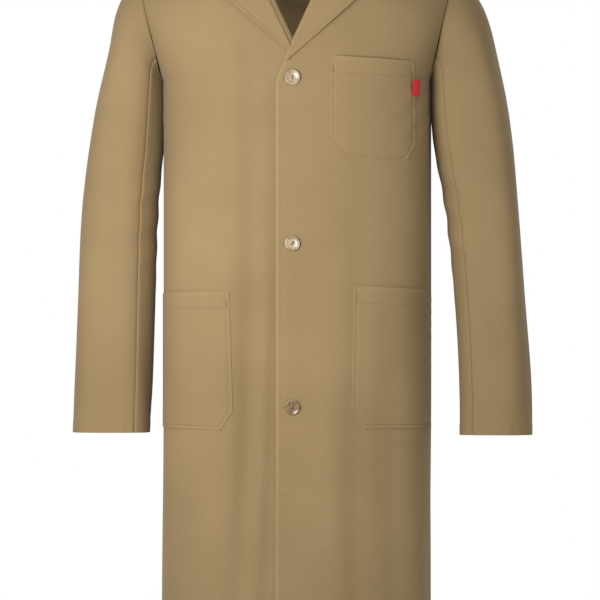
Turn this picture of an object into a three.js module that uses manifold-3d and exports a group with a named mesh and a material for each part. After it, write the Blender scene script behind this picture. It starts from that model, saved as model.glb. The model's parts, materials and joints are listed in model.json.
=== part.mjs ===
// Knee-length work coat with notched collar, three patch pockets and a three-button front.
// Millimetres, +Z up. The origin is on the centre plane at nape height, the front faces -Y,
// and +X is the wearer's left.
import * as THREE from 'three';
import { mergeVertices } from 'three/addons/utils/BufferGeometryUtils.js';
import Module from 'manifold-3d';

const wasm = await Module();
wasm.setup();

// Cloth
const CLOTH = 1.4;
const LAYER_GAP = 0.5;
const SEAM_GAP = 0.5;
const LAYER = CLOTH + LAYER_GAP;

// Body of the coat
const HALF_WIDTH = 192;
const HALF_DEPTH = 125;
const HEM_HALF_DEPTH = 150;
const FLARE_START_Z = -716;
const FLARE_POWER = 1.85;
const HEM_Z = -1079;
const SECTION_POWER = 3;

// Shoulders, armholes and neck
const ARMPIT_Z = -224;
const SHOULDER_TIP = { x: 228, z: -75 };
const NECK_SIDE = { x: 77, z: -14 };
const SHOULDER_ROUND = 90;
const WIDTH_GROWTH = 0.36;
const NECK_RISE = 0.6;
const NECK_RISE_FADE = 0.004;

// Front opening
const OVERLAP = 24;
const BREAK_POINT = { x: -14, z: -204 };
const EDGE_CURVE = 36;
const ROLL_SLOPE = 0.47;
const FACING_WIDTH = 66;
const BUTTON_HEIGHTS = [-223, -459, -692];
const BUTTON_RADIUS = 11;
const BUTTON_THICKNESS = 3;
const BUTTON_LIFT = 1;
const BUTTON_TURNS = [0, 0.7, 0.35];
const BUTTONHOLE_LENGTH = 25;
const BUTTONHOLE_WIDTH = 5;

// Skirt fronts, which fold open along a line from the front edge to the hem
const SKIRT_TOP_Z = -716;
const SKIRT_HINGE_HEM_X = 135;
const INNER_SKIRT_TOP_Z = -885;
const FOLD_GAP = 1;

// Sleeves: height, inner edge, outer edge, half depth
const ELBOW_Z = -430;
const CAP_TILT = 31;
const LEFT_SLEEVE = {
  sign: 1,
  stations: [
    [-134, 197, 275, 62], [-196, 197, 290, 65], [-256, 198, 303, 66], [-398, 213, 319, 60],
    [-540, 228, 329, 54], [-682, 234, 338, 47], [-733, 234, 338, 45],
  ],
};
const RIGHT_SLEEVE = {
  sign: -1,
  stations: [
    [-134, 197, 262, 62], [-196, 198, 277, 65], [-256, 199, 291, 66], [-398, 203, 311, 60],
    [-540, 206, 318, 54], [-682, 211, 322, 47], [-730, 213, 323, 45],
  ],
};
const SLEEVE_TOP_Z = -196;
const FOREARM_FORWARD = 10;
const FOREARM_LENGTH = 300;
const CAP_BULGE = { x: 10, z: 26 };
const CUFF_HEM = 18;
const CUFF_HEM_CLOTH = 1;

// Pockets
const POCKET_BELLY = 13;
const POCKET_EDGE = 12;
const POCKET_LIFT = 0.9;
const CHAMFER_LEAN = 0.85;
const CHEST_POCKET = { near: 54, far: 170, top: -194, bottom: -339, chamfer: 20 };
const LOWER_POCKET = { near: 83, far: 184, top: -525, bottom: -725, chamfer: 22 };
const TAB = { near: 174, far: 181, top: -226, bottom: -249, slant: 2, lift: 3.2, thickness: 1.2 };

// Colours
const KHAKI = 0xb29a72;
const KHAKI_SHADE = 0x9c855f;
const PEARL = 0xd9cbb6;
const RED = 0xc62a2a;
const THREAD = 0xbfae8c;
const LABEL = 0xe4dcc8;

const object = new THREE.Group();

const clamp = THREE.MathUtils.clamp;
const lerp = THREE.MathUtils.lerp;

function addNode(name, geometry, color, roughness = 0.9) {
  const material = new THREE.MeshStandardMaterial({ color, roughness, metalness: 0 });
  const mesh = new THREE.Mesh(geometry, material);
  mesh.name = name;
  object.add(mesh);
  return mesh;
}

// ---- Booleans ----

function toSolid(geometry) {
  const bare = geometry.clone();
  bare.deleteAttribute('normal');
  bare.deleteAttribute('uv');
  const merged = mergeVertices(bare, 1e-4);
  return new wasm.Manifold(new wasm.Mesh({
    numProp: 3,
    vertProperties: new Float32Array(merged.attributes.position.array),
    triVerts: new Uint32Array(merged.index.array),
  }));
}

function toGeometry(solid) {
  const mesh = solid.getMesh();
  const geometry = new THREE.BufferGeometry();
  geometry.setAttribute('position', new THREE.BufferAttribute(mesh.vertProperties, 3));
  geometry.setIndex(new THREE.BufferAttribute(mesh.triVerts, 1));
  return geometry;
}

const PRISM_BACK_Y = -40;
const PRISM_DEPTH = 140;

// A wall along Y through the coat's front, with its outline given in X and Z.
function frontPrism(outline) {
  const shape = new THREE.Shape(outline.map(([x, z]) => new THREE.Vector2(x, z)));
  const geometry = new THREE.ExtrudeGeometry(shape, { depth: PRISM_DEPTH, bevelEnabled: false });
  geometry.rotateX(Math.PI / 2);
  geometry.translate(0, PRISM_BACK_Y, 0);
  return toSolid(geometry);
}

// ---- Cloth shells ----

// Joins two grids of points, the outer and the inner face of a cloth, into one closed shell.
function shellFromGrids(outer, inner) {
  const rows = outer.length;
  const columns = outer[0].length;
  const positions = [];
  for (const grid of [outer, inner]) {
    for (const row of grid) {
      for (const point of row) positions.push(point.x, point.y, point.z);
    }
  }
  const at = (layer, row, column) => (layer * rows + row) * columns + column;
  const index = [];
  const quad = (a, b, c, d) => index.push(a, b, c, a, c, d);
  for (let row = 0; row < rows - 1; row += 1) {
    for (let column = 0; column < columns - 1; column += 1) {
      quad(at(0, row, column), at(0, row, column + 1), at(0, row + 1, column + 1), at(0, row + 1, column));
      quad(at(1, row, column), at(1, row + 1, column), at(1, row + 1, column + 1), at(1, row, column + 1));
    }
  }
  for (let column = 0; column < columns - 1; column += 1) {
    quad(at(0, 0, column), at(1, 0, column), at(1, 0, column + 1), at(0, 0, column + 1));
    const top = rows - 1;
    quad(at(0, top, column), at(0, top, column + 1), at(1, top, column + 1), at(1, top, column));
  }
  for (let row = 0; row < rows - 1; row += 1) {
    quad(at(0, row, 0), at(0, row + 1, 0), at(1, row + 1, 0), at(1, row, 0));
    const side = columns - 1;
    quad(at(0, row, side), at(1, row, side), at(1, row + 1, side), at(0, row + 1, side));
  }
  const geometry = new THREE.BufferGeometry();
  geometry.setAttribute('position', new THREE.Float32BufferAttribute(positions, 3));
  geometry.setIndex(index);
  return geometry;
}

// A cloth on the surface pointAt(u, v), with u to the wearer's left round the front and v up.
// lift(u, v) is how far the cloth's outer face stands off that surface.
function clothShell(pointAt, { columns, rows, lift = () => 0, thickness = CLOTH }) {
  const step = 1e-4;
  const outer = [];
  const inner = [];
  for (let row = 0; row <= rows; row += 1) {
    const outerRow = [];
    const innerRow = [];
    for (let column = 0; column <= columns; column += 1) {
      const u = column / columns;
      const v = row / rows;
      const uLow = Math.max(0, u - step);
      const vLow = Math.max(0, v - step);
      const along = pointAt(Math.min(1, uLow + 2 * step), v).sub(pointAt(uLow, v));
      const up = pointAt(u, Math.min(1, vLow + 2 * step)).sub(pointAt(u, vLow));
      const normal = along.cross(up).normalize();
      const stand = lift(u, v);
      outerRow.push(pointAt(u, v).addScaledVector(normal, stand));
      innerRow.push(pointAt(u, v).addScaledVector(normal, stand - thickness));
    }
    outer.push(outerRow);
    inner.push(innerRow);
  }
  return shellFromGrids(outer, inner);
}

// ---- The coat's body surface ----

function halfWidth(z) {
  return HALF_WIDTH + WIDTH_GROWTH * Math.max(0, z - ARMPIT_Z);
}

function halfDepth(z) {
  const flare = clamp((FLARE_START_Z - z) / (FLARE_START_Z - HEM_Z), 0, 1);
  return HALF_DEPTH + (HEM_HALF_DEPTH - HALF_DEPTH) * flare ** FLARE_POWER;
}

const SHOULDER_SLOPE = (NECK_SIDE.z - SHOULDER_TIP.z) / (SHOULDER_TIP.x - NECK_SIDE.x);

function shoulderZ(x) {
  const outside = Math.abs(x) - NECK_SIDE.x;
  if (outside >= 0) return NECK_SIDE.z - SHOULDER_SLOPE * outside;
  const inside = -outside;
  return NECK_SIDE.z + NECK_RISE * inside * (1 - NECK_RISE_FADE * inside);
}

function shoulderRound(x, z) {
  const t = clamp((shoulderZ(x) - z) / SHOULDER_ROUND, 0, 1);
  return Math.sqrt(1 - (1 - t) ** 2);
}

function sectionDepth(x, z) {
  const ratio = Math.min(1, Math.abs(x) / halfWidth(z));
  return halfDepth(z) * (1 - ratio ** SECTION_POWER) ** (1 / SECTION_POWER);
}

function depthAt(x, z) {
  return sectionDepth(x, z) * shoulderRound(x, z);
}

// Angle round the section: 0 at the front centre, a quarter turn at the wearer's left side.
function angleAtX(x, z) {
  return Math.atan2(x, sectionDepth(x, z));
}

function bodyPoint(angle, z) {
  const s = Math.sin(angle);
  const c = Math.cos(angle);
  const wide = (Math.abs(s) / halfWidth(z)) ** SECTION_POWER;
  const deep = (Math.abs(c) / halfDepth(z)) ** SECTION_POWER;
  const radius = (wide + deep) ** (-1 / SECTION_POWER);
  const x = radius * s;
  return new THREE.Vector3(x, -radius * c * shoulderRound(x, z), z);
}

const ARMHOLE_SLOPE = (SHOULDER_TIP.x - HALF_WIDTH) / (SHOULDER_TIP.z - ARMPIT_Z);

function armholeX(z) {
  return HALF_WIDTH + ARMHOLE_SLOPE * (z - ARMPIT_Z);
}

// Angle of the front panels' outer edge: the side seam below the armpit, the armhole above.
function sideAngle(z) {
  if (z <= ARMPIT_Z) return Math.PI / 2 - SEAM_GAP / HALF_DEPTH;
  return angleAtX(armholeX(z) - 2, z);
}

// The wearer's left front edge, which turns into the lapel's roll line above the break point.
function frontEdgeX(z) {
  if (z > BREAK_POINT.z) return BREAK_POINT.x + ROLL_SLOPE * (z - BREAK_POINT.z);
  const below = clamp((BREAK_POINT.z - z) / EDGE_CURVE, 0, 1);
  return lerp(BREAK_POINT.x, -OVERLAP, below * (2 - below));
}

// How far below the shoulder line the panels end, which leaves the shoulder seam about 1 mm wide.
const TOP_MARGIN = 0.001;

// Rows run from the hem to the armpit, then on to the shoulder or neck line of each column.
const LOWER_SHARE = 0.6;
const TOP_CROWDING = 1.8;

function panelPoint(u, v, angleFor, topAt) {
  if (v <= LOWER_SHARE) {
    const low = lerp(HEM_Z, ARMPIT_Z, v / LOWER_SHARE);
    return bodyPoint(angleFor(u, low), low);
  }
  let top = SHOULDER_TIP.z;
  for (let pass = 0; pass < 16; pass += 1) top = topAt(bodyPoint(angleFor(u, top), top).x);
  const left = 1 - (v - LOWER_SHARE) / (1 - LOWER_SHARE);
  const z = lerp(top, ARMPIT_Z, left ** TOP_CROWDING);
  return bodyPoint(angleFor(u, z), z);
}

function frontSurface(u, v) {
  const angleFor = (share, z) => lerp(angleAtX(frontEdgeX(z), z), sideAngle(z), share);
  return panelPoint(u, v, angleFor, (x) => shoulderZ(x) - TOP_MARGIN);
}

// The wearer's right front lies under the left one, sunk by the left front and its facing.
function innerSink(x, z) {
  const nearEdge = THREE.MathUtils.smoothstep(x, -88, -56);
  const below = 1 - THREE.MathUtils.smoothstep(z, -185, -110);
  return -2 * LAYER * nearEdge * below;
}

function mirrored(point) {
  point.x = -point.x;
  return point;
}

function rightFrontSurface(u, v) {
  return mirrored(frontSurface(1 - u, v));
}

function rightFrontLift(u, v) {
  const point = rightFrontSurface(u, v);
  return innerSink(point.x, point.z);
}

// ---- Skirt fronts: the parts that swing open below the lowest button ----

const SKIRT_SLOPE = (SKIRT_HINGE_HEM_X + OVERLAP) / (SKIRT_TOP_Z - HEM_Z);

function skirtHingeX(z) {
  return -OVERLAP + SKIRT_SLOPE * (SKIRT_TOP_Z - z);
}

const OUTLINE_MARGIN = 20;

// Outline of the swinging part below topZ, kept a gap away from the fold.
function skirtOutline(sign, topZ, gap) {
  const low = HEM_Z - OUTLINE_MARGIN;
  const free = -(OVERLAP + OUTLINE_MARGIN);
  return [
    [sign * (skirtHingeX(topZ) - gap), topZ - gap],
    [sign * free, topZ - gap],
    [sign * free, low],
    [sign * (skirtHingeX(low) - gap), low],
  ];
}

function splitSkirt(panel, sign, topZ) {
  const cut = frontPrism(skirtOutline(sign, topZ, -FOLD_GAP));
  const keep = frontPrism(skirtOutline(sign, topZ, FOLD_GAP));
  const solid = toSolid(panel);
  return { body: solid.subtract(cut), skirt: solid.intersect(keep) };
}

function slotPrism(z) {
  const half = BUTTONHOLE_LENGTH / 2;
  const tall = BUTTONHOLE_WIDTH / 2;
  return frontPrism([[-half, z - tall], [half, z - tall], [half, z + tall], [-half, z + tall]]);
}

function cutButtonholes(solid) {
  return BUTTON_HEIGHTS.reduce((left, z) => left.subtract(slotPrism(z)), solid);
}

// ---- Fronts and facings ----

function facingSurface(u, v) {
  const z = lerp(HEM_Z, BREAK_POINT.z - 4, v);
  const x = frontEdgeX(z) + 1 + FACING_WIDTH * u;
  return bodyPoint(angleAtX(x, z), z);
}

function rightFacingSurface(u, v) {
  return mirrored(facingSurface(1 - u, v));
}

function addFronts() {
  const left = splitSkirt(clothShell(frontSurface, { columns: 10, rows: 20 }), 1, SKIRT_TOP_Z);
  addNode('left_front', toGeometry(cutButtonholes(left.body)), KHAKI);
  addNode('left_front_skirt', toGeometry(left.skirt), KHAKI);

  const rightPanel = clothShell(rightFrontSurface, { columns: 12, rows: 20, lift: rightFrontLift });
  const right = splitSkirt(rightPanel, -1, INNER_SKIRT_TOP_Z);
  addNode('right_front', toGeometry(right.body), KHAKI);
  addNode('right_front_skirt', toGeometry(right.skirt), KHAKI);

  const leftFacingPanel = clothShell(facingSurface, { columns: 2, rows: 14, lift: () => -LAYER });
  const leftFacing = splitSkirt(leftFacingPanel, 1, SKIRT_TOP_Z);
  addNode('left_front_facing', toGeometry(cutButtonholes(leftFacing.body)), KHAKI_SHADE);
  addNode('left_skirt_facing', toGeometry(leftFacing.skirt), KHAKI_SHADE);

  const rightFacingLift = (u, v) => {
    const point = rightFacingSurface(u, v);
    return innerSink(point.x, point.z) - LAYER;
  };
  const rightFacingPanel = clothShell(rightFacingSurface, { columns: 4, rows: 14, lift: rightFacingLift });
  const rightFacing = splitSkirt(rightFacingPanel, -1, INNER_SKIRT_TOP_Z);
  addNode('right_front_facing', toGeometry(rightFacing.body), KHAKI_SHADE);
  addNode('right_skirt_facing', toGeometry(rightFacing.skirt), KHAKI_SHADE);
}

// ---- Back, in two panels with a centre seam ----

function backTopZ(x) {
  const inside = Math.min(1, Math.abs(x) / NECK_SIDE.x);
  return Math.min(NECK_SIDE.z * inside ** 2, shoulderZ(x) - TOP_MARGIN);
}

function backSurface(u, v) {
  const angleFor = (share, z) => {
    const side = Math.PI - sideAngle(z);
    return lerp(side, Math.PI - SEAM_GAP / HALF_DEPTH, share);
  };
  return panelPoint(u, v, angleFor, backTopZ);
}

function addBack() {
  const grid = { columns: 9, rows: 22 };
  addNode('back_left', clothShell(backSurface, grid), KHAKI);
  addNode('back_right', clothShell((u, v) => mirrored(backSurface(1 - u, v)), grid), KHAKI);
}

// ---- Sleeves ----

function stationAt(sleeve, z) {
  const rows = sleeve.stations;
  let next = rows.findIndex(([height]) => height <= z);
  if (next < 0) next = rows.length - 1;
  if (next === 0) next = 1;
  const [highZ, innerHigh, outerHigh, deepHigh] = rows[next - 1];
  const [lowZ, innerLow, outerLow, deepLow] = rows[next];
  const share = clamp((highZ - z) / (highZ - lowZ), 0, 1);
  const inner = lerp(innerHigh, innerLow, share);
  const outer = lerp(outerHigh, outerLow, share);
  return { centre: (inner + outer) / 2, wide: (outer - inner) / 2, deep: lerp(deepHigh, deepLow, share) };
}

function sleeveTilt(z) {
  return CAP_TILT * clamp((z - ELBOW_Z) / (SLEEVE_TOP_Z - ELBOW_Z), 0, 1);
}

// Angle 0 at the front of the sleeve, a quarter turn at its outer side.
function sleevePoint(sleeve, angle, level) {
  const z = level + sleeveTilt(level) * Math.sin(angle);
  const section = stationAt(sleeve, z);
  const x = section.centre + section.wide * Math.sin(angle);
  const forward = FOREARM_FORWARD * clamp((ELBOW_Z - z) / FOREARM_LENGTH, 0, 1);
  return new THREE.Vector3(x, -section.deep * Math.cos(angle) - forward, z);
}

function armholePoint(angle) {
  const middle = (SHOULDER_TIP.z + ARMPIT_Z) / 2;
  const z = middle + (SHOULDER_TIP.z - middle) * Math.sin(angle);
  const x = armholeX(z);
  return new THREE.Vector3(x, -Math.sign(Math.cos(angle)) * depthAt(x, z), z);
}

// The sleeve head: from the armhole seam out and over to the top ring of the sleeve.
function capPoint(sleeve, angle, v) {
  const low = sleevePoint(sleeve, angle, SLEEVE_TOP_Z);
  const high = armholePoint(angle);
  const outward = (1 + Math.sin(angle)) / 2;
  const bulge = new THREE.Vector3(CAP_BULGE.x * outward, 0, CAP_BULGE.z * outward);
  const middle = low.clone().lerp(high, 0.5).add(bulge);
  return new THREE.QuadraticBezierCurve3(low, middle, high).getPoint(lerp(0.03, 0.97, v));
}

// A piece of a sleeve between two angles; the wearer's right sleeve is the mirror image.
function sleevePiece(sleeve, fromAngle, toAngle, pointFor, grid) {
  if (sleeve.sign > 0) return clothShell((u, v) => pointFor(lerp(fromAngle, toAngle, u), v), grid);
  return clothShell((u, v) => mirrored(pointFor(lerp(toAngle, fromAngle, u), v)), grid);
}

const QUARTER = Math.PI / 2;
const SEAM_ANGLE = 0.006;
const FOREARM_SEAM = -0.62;
const HINDARM_SEAM = Math.PI + 0.62;

function addSleeve(sleeve, side) {
  const tubeBetween = (top, bottom) => (angle, v) => sleevePoint(sleeve, angle, lerp(bottom, top, v));
  const outerSeams = [FOREARM_SEAM + SEAM_ANGLE, HINDARM_SEAM - SEAM_ANGLE];
  const innerSeams = [HINDARM_SEAM + SEAM_ANGLE, FOREARM_SEAM + 4 * QUARTER - SEAM_ANGLE];
  const capFrom = -QUARTER + SEAM_ANGLE;
  const capTo = 3 * QUARTER - SEAM_ANGLE;
  const cap = (angle, v) => capPoint(sleeve, angle, v);
  addNode(`${side}_sleeve_head`, sleevePiece(sleeve, capFrom, capTo, cap, { columns: 24, rows: 4 }), KHAKI);

  const cuffZ = sleeve.stations[sleeve.stations.length - 1][0];
  const upper = tubeBetween(SLEEVE_TOP_Z - SEAM_GAP, ELBOW_Z + SEAM_GAP);
  const lower = tubeBetween(ELBOW_Z - SEAM_GAP, cuffZ);
  const hem = tubeBetween(cuffZ + CUFF_HEM, cuffZ);
  const wide = { columns: 14, rows: 4 };
  const narrow = { columns: 6, rows: 4 };
  addNode(`${side}_upper_topsleeve`, sleevePiece(sleeve, ...outerSeams, upper, wide), KHAKI);
  addNode(`${side}_upper_undersleeve`, sleevePiece(sleeve, ...innerSeams, upper, narrow), KHAKI_SHADE);
  addNode(`${side}_lower_topsleeve`, sleevePiece(sleeve, ...outerSeams, lower, wide), KHAKI);
  addNode(`${side}_lower_undersleeve`, sleevePiece(sleeve, ...innerSeams, lower, narrow), KHAKI_SHADE);
  const hemGrid = { columns: 24, rows: 1, lift: () => -LAYER - CUFF_HEM_CLOTH, thickness: CUFF_HEM_CLOTH };
  const hemFrom = HINDARM_SEAM + SEAM_ANGLE;
  const hemTo = hemFrom + 4 * QUARTER - 3 * SEAM_ANGLE;
  addNode(`${side}_cuff_hem`, sleevePiece(sleeve, hemFrom, hemTo, hem, hemGrid), KHAKI_SHADE);
}

// ---- Lapels, collar, label and hanger loop ----

const GORGE = { x: 63, z: -40 };
const LAPEL_POINT = { x: 125, z: -80 };
const LAPEL_CURVE = { x: 49.5, z: -150 };
const NOTCH_DEPTH = 8;
const LAPEL_LIFT = 4;
const LEFT_LAPEL_START = 0.06;
const RIGHT_LAPEL_START = 0.2;

function onFront(x, z, lift) {
  const point = bodyPoint(angleAtX(x, z), z);
  return new THREE.Vector3(point.x, point.y - lift, point.z);
}

function lapelSurface(u, v, start) {
  const share = lerp(start, 1, v);
  const inner = new THREE.Vector2(
    lerp(BREAK_POINT.x, GORGE.x, share),
    lerp(BREAK_POINT.z, GORGE.z, share),
  );
  const outer = new THREE.QuadraticBezierCurve(
    new THREE.Vector2(BREAK_POINT.x, BREAK_POINT.z),
    new THREE.Vector2(LAPEL_CURVE.x, LAPEL_CURVE.z),
    new THREE.Vector2(LAPEL_POINT.x, LAPEL_POINT.z),
  ).getPoint(share);
  const flat = inner.lerp(outer, u);
  const notch = NOTCH_DEPTH * Math.sin(Math.PI * Math.min(1, u / 0.9)) * v ** 8;
  return onFront(flat.x, flat.y - notch, 0);
}

function addLapels() {
  const lift = () => LAPEL_LIFT;
  const grid = { columns: 5, rows: 8, lift };
  addNode('left_lapel', clothShell((u, v) => lapelSurface(u, v, LEFT_LAPEL_START), grid), KHAKI);
  const underSurface = (u, v) => mirrored(lapelSurface(1 - u, v, RIGHT_LAPEL_START));
  addNode('right_lapel', clothShell(underSurface, grid), KHAKI);
}

// Half of each collar line from the back centre to the wearer's left front end.
function collarLine(points) {
  const half = points.map(([x, y, z]) => new THREE.Vector3(x, y, z));
  const other = half.slice(1).map((point) => new THREE.Vector3(-point.x, point.y, point.z));
  return new THREE.CatmullRomCurve3([...other.reverse(), ...half], false, 'centripetal');
}

function frontPlace(x, z, lift) {
  return [x, -depthAt(x, z) - lift, z];
}

// The lines run from the wearer's right end round the back to the left end, so u is reversed
// where the outer face must look away from the neck.
function loftSurface(lines) {
  return (u, v) => {
    const along = 1 - u;
    const stations = lines.map((line) => line.getPoint(along));
    return new THREE.CatmullRomCurve3(stations, false, 'centripetal').getPoint(v);
  };
}

function addCollar() {
  const leafEdge = collarLine([
    [0, 108, -22], [46, 100, -26], [86, 74, -33], [112, 12, -21], frontPlace(119, -38, 9), frontPlace(112, -47, 8),
  ]);
  const leafMiddle = collarLine([
    [0, 96, 8], [40, 85, 6], [72, 58, -1], [93, 4, -4], frontPlace(97, -38, 10), frontPlace(98, -66, 8),
  ]);
  const leafFold = collarLine([
    [0, 78, 27], [32, 70, 25], [60, 44, 20], [77, 4, 10], frontPlace(76, -21, 9), frontPlace(68, -38, 9),
  ]);
  addNode('collar_leaf', clothShell(loftSurface([leafEdge, leafMiddle, leafFold]), { columns: 28, rows: 6 }), KHAKI);

  const standSeam = collarLine([[0, 72, 3], [30, 59, 1], [55, 36, -3], [72, 1, -9], [69, -30, -24]]);
  const standTop = collarLine([[0, 74, 24], [31, 66, 22], [57, 42, 17], [72, 4, 7], [70, -30, -14]]);
  addNode('collar_stand', clothShell(loftSurface([standSeam, standTop]), { columns: 22, rows: 2 }), KHAKI_SHADE);
}

const LABEL_HALF_WIDTH = 28;
const LABEL_TOP = -16;
const LABEL_BOTTOM = -44;

function labelSurface(u, v) {
  const z = lerp(LABEL_BOTTOM, LABEL_TOP, v);
  return bodyPoint(Math.PI - angleAtX(lerp(LABEL_HALF_WIDTH, -LABEL_HALF_WIDTH, u), z), z);
}

const LOOP_AXIS = { y: 54, z: -8 };
const LOOP_HALF_WIDTH = 30;
const LOOP_DROP = 20;
const LOOP_STRAP = { thick: 2, wide: 5 };
const LABEL_LIFT = -7;
const LABEL_CLOTH = 0.8;

function addLabelAndLoop() {
  const labelGrid = { columns: 6, rows: 2, lift: () => LABEL_LIFT, thickness: LABEL_CLOTH };
  addNode('neck_label', clothShell(labelSurface, labelGrid), LABEL);
  const path = new THREE.CatmullRomCurve3([
    new THREE.Vector3(-LOOP_HALF_WIDTH, LOOP_AXIS.y, LOOP_AXIS.z),
    new THREE.Vector3(-LOOP_HALF_WIDTH + 5, LOOP_AXIS.y, LOOP_AXIS.z - LOOP_DROP * 0.7),
    new THREE.Vector3(0, LOOP_AXIS.y, LOOP_AXIS.z - LOOP_DROP),
    new THREE.Vector3(LOOP_HALF_WIDTH - 5, LOOP_AXIS.y, LOOP_AXIS.z - LOOP_DROP * 0.7),
    new THREE.Vector3(LOOP_HALF_WIDTH, LOOP_AXIS.y, LOOP_AXIS.z),
  ]);
  const corners = [[-1, -1], [1, -1], [1, 1], [-1, 1]];
  const points = corners.map(([a, b]) => new THREE.Vector2(a * LOOP_STRAP.thick / 2, b * LOOP_STRAP.wide / 2));
  const strap = new THREE.Shape(points);
  const geometry = new THREE.ExtrudeGeometry(strap, { steps: 16, extrudePath: path, bevelEnabled: false });
  addNode('hanger_loop', geometry, KHAKI_SHADE);
}

// ---- Pockets ----

// Patch pocket: sewn to the front along its sides and foot, open at the top, with cut corners.
function pocketSurface(pocket, u, v) {
  const z = lerp(pocket.bottom, pocket.top, v);
  const cut = Math.max(0, pocket.chamfer - (z - pocket.bottom)) * CHAMFER_LEAN;
  const x = lerp(pocket.near + cut, pocket.far - cut, u);
  return bodyPoint(angleAtX(x, z), z);
}

function pocketLift(pocket) {
  const width = pocket.far - pocket.near;
  const height = pocket.top - pocket.bottom;
  return (u, v) => {
    const side = Math.min(u, 1 - u) * width;
    const foot = v * height;
    const rise = THREE.MathUtils.smoothstep(Math.min(side, foot), 0, POCKET_EDGE);
    return CLOTH + POCKET_LIFT + POCKET_BELLY * rise;
  };
}

function addPocket(name, pocket, sign) {
  const lift = pocketLift(pocket);
  const grid = { columns: 16, rows: 14 };
  if (sign > 0) {
    addNode(name, clothShell((u, v) => pocketSurface(pocket, u, v), { ...grid, lift }), KHAKI);
    return;
  }
  const surface = (u, v) => mirrored(pocketSurface(pocket, 1 - u, v));
  addNode(name, clothShell(surface, { ...grid, lift: (u, v) => lift(1 - u, v) }), KHAKI);
}

function addPocketTab() {
  const surface = (u, v) => {
    const z = lerp(TAB.bottom, TAB.top, v);
    return bodyPoint(angleAtX(lerp(TAB.near, TAB.far, u) - TAB.slant * v, z), z);
  };
  const grid = { columns: 2, rows: 2, lift: () => TAB.lift, thickness: TAB.thickness };
  addNode('pocket_tab', clothShell(surface, grid), RED, 0.7);
}

// ---- Buttons ----

const HOLE_RADIUS = 1.3;
const HOLE_OFFSET = 2.2;

// A turned disc with a raised rim and two holes.
function buttonGeometry(y, z, turn) {
  const r = BUTTON_RADIUS;
  const h = BUTTON_THICKNESS;
  const profile = [[0, 0], [r - 2, 0], [r, 1], [r, h - 1], [r - 1, h], [r - 2.4, h], [r - 3.4, h - 1], [0, h - 1]];
  const lathe = new THREE.LatheGeometry(profile.map(([a, b]) => new THREE.Vector2(a, b)), 24);
  const disc = toSolid(lathe);
  const drill = (x) => {
    const hole = new THREE.CylinderGeometry(HOLE_RADIUS, HOLE_RADIUS, 4 * h, 12);
    hole.translate(x, h / 2, 0);
    return toSolid(hole);
  };
  const geometry = toGeometry(disc.subtract(drill(HOLE_OFFSET)).subtract(drill(-HOLE_OFFSET)));
  geometry.rotateX(Math.PI);
  geometry.rotateY(Math.PI / 2 + turn);
  geometry.translate(0, y, z);
  return geometry;
}

// The sewing thread: a shank from the under front, two strands up through the button and a bar.
function threadGeometry(y, z, turn) {
  const reach = 2 * LAYER - 0.4;
  const box = (wide, deep, tall, dy, dz) => {
    const geometry = new THREE.BoxGeometry(wide, deep, tall);
    geometry.translate(0, dy, dz);
    geometry.rotateY(turn);
    geometry.translate(0, y, z);
    return toSolid(geometry);
  };
  const under = BUTTON_LIFT - 0.3;
  const shank = box(3, reach + under, 3.6, (reach - under) / 2, 0);
  const over = BUTTON_LIFT + BUTTON_THICKNESS - 1 + 0.3;
  const strandTop = over + 0.8;
  const strand = (dz) => box(1.2, strandTop, 1.2, -strandTop / 2, dz);
  const bar = box(1.2, 0.8, 5.6, -(over + 0.4), 0);
  const foot = box(1.2, 0.4, 5.6, -0.45, 0);
  return toGeometry(shank.add(foot).add(strand(HOLE_OFFSET)).add(strand(-HOLE_OFFSET)).add(bar));
}

function addButtons() {
  const names = ['top', 'middle', 'bottom'];
  BUTTON_HEIGHTS.forEach((z, index) => {
    const y = -depthAt(0, z);
    addNode(`${names[index]}_button`, buttonGeometry(y - BUTTON_LIFT, z, BUTTON_TURNS[index]), PEARL, 0.3);
    addNode(`${names[index]}_button_thread`, threadGeometry(y, z, BUTTON_TURNS[index]), THREAD);
  });
}

addBack();
addFronts();
addLapels();
addCollar();
addLabelAndLoop();
addPocket('chest_pocket', CHEST_POCKET, 1);
addPocket('left_lower_pocket', LOWER_POCKET, 1);
addPocket('right_lower_pocket', LOWER_POCKET, -1);
addPocketTab();
addButtons();
addSleeve(LEFT_SLEEVE, 'left');
addSleeve(RIGHT_SLEEVE, 'right');

export default object;
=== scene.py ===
"""Khaki work coat with a notched collar, patch pockets and a three-button front, in worn shape.

Every cloth panel is a sheet of real thickness on the coat's body or sleeve surface. Its sizes come
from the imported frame, in metres: -Y is the front and +X the wearer's left.
"""
import json
import math

import bmesh
import bpy
import numpy as np
from mathutils import Matrix, Vector


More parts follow.
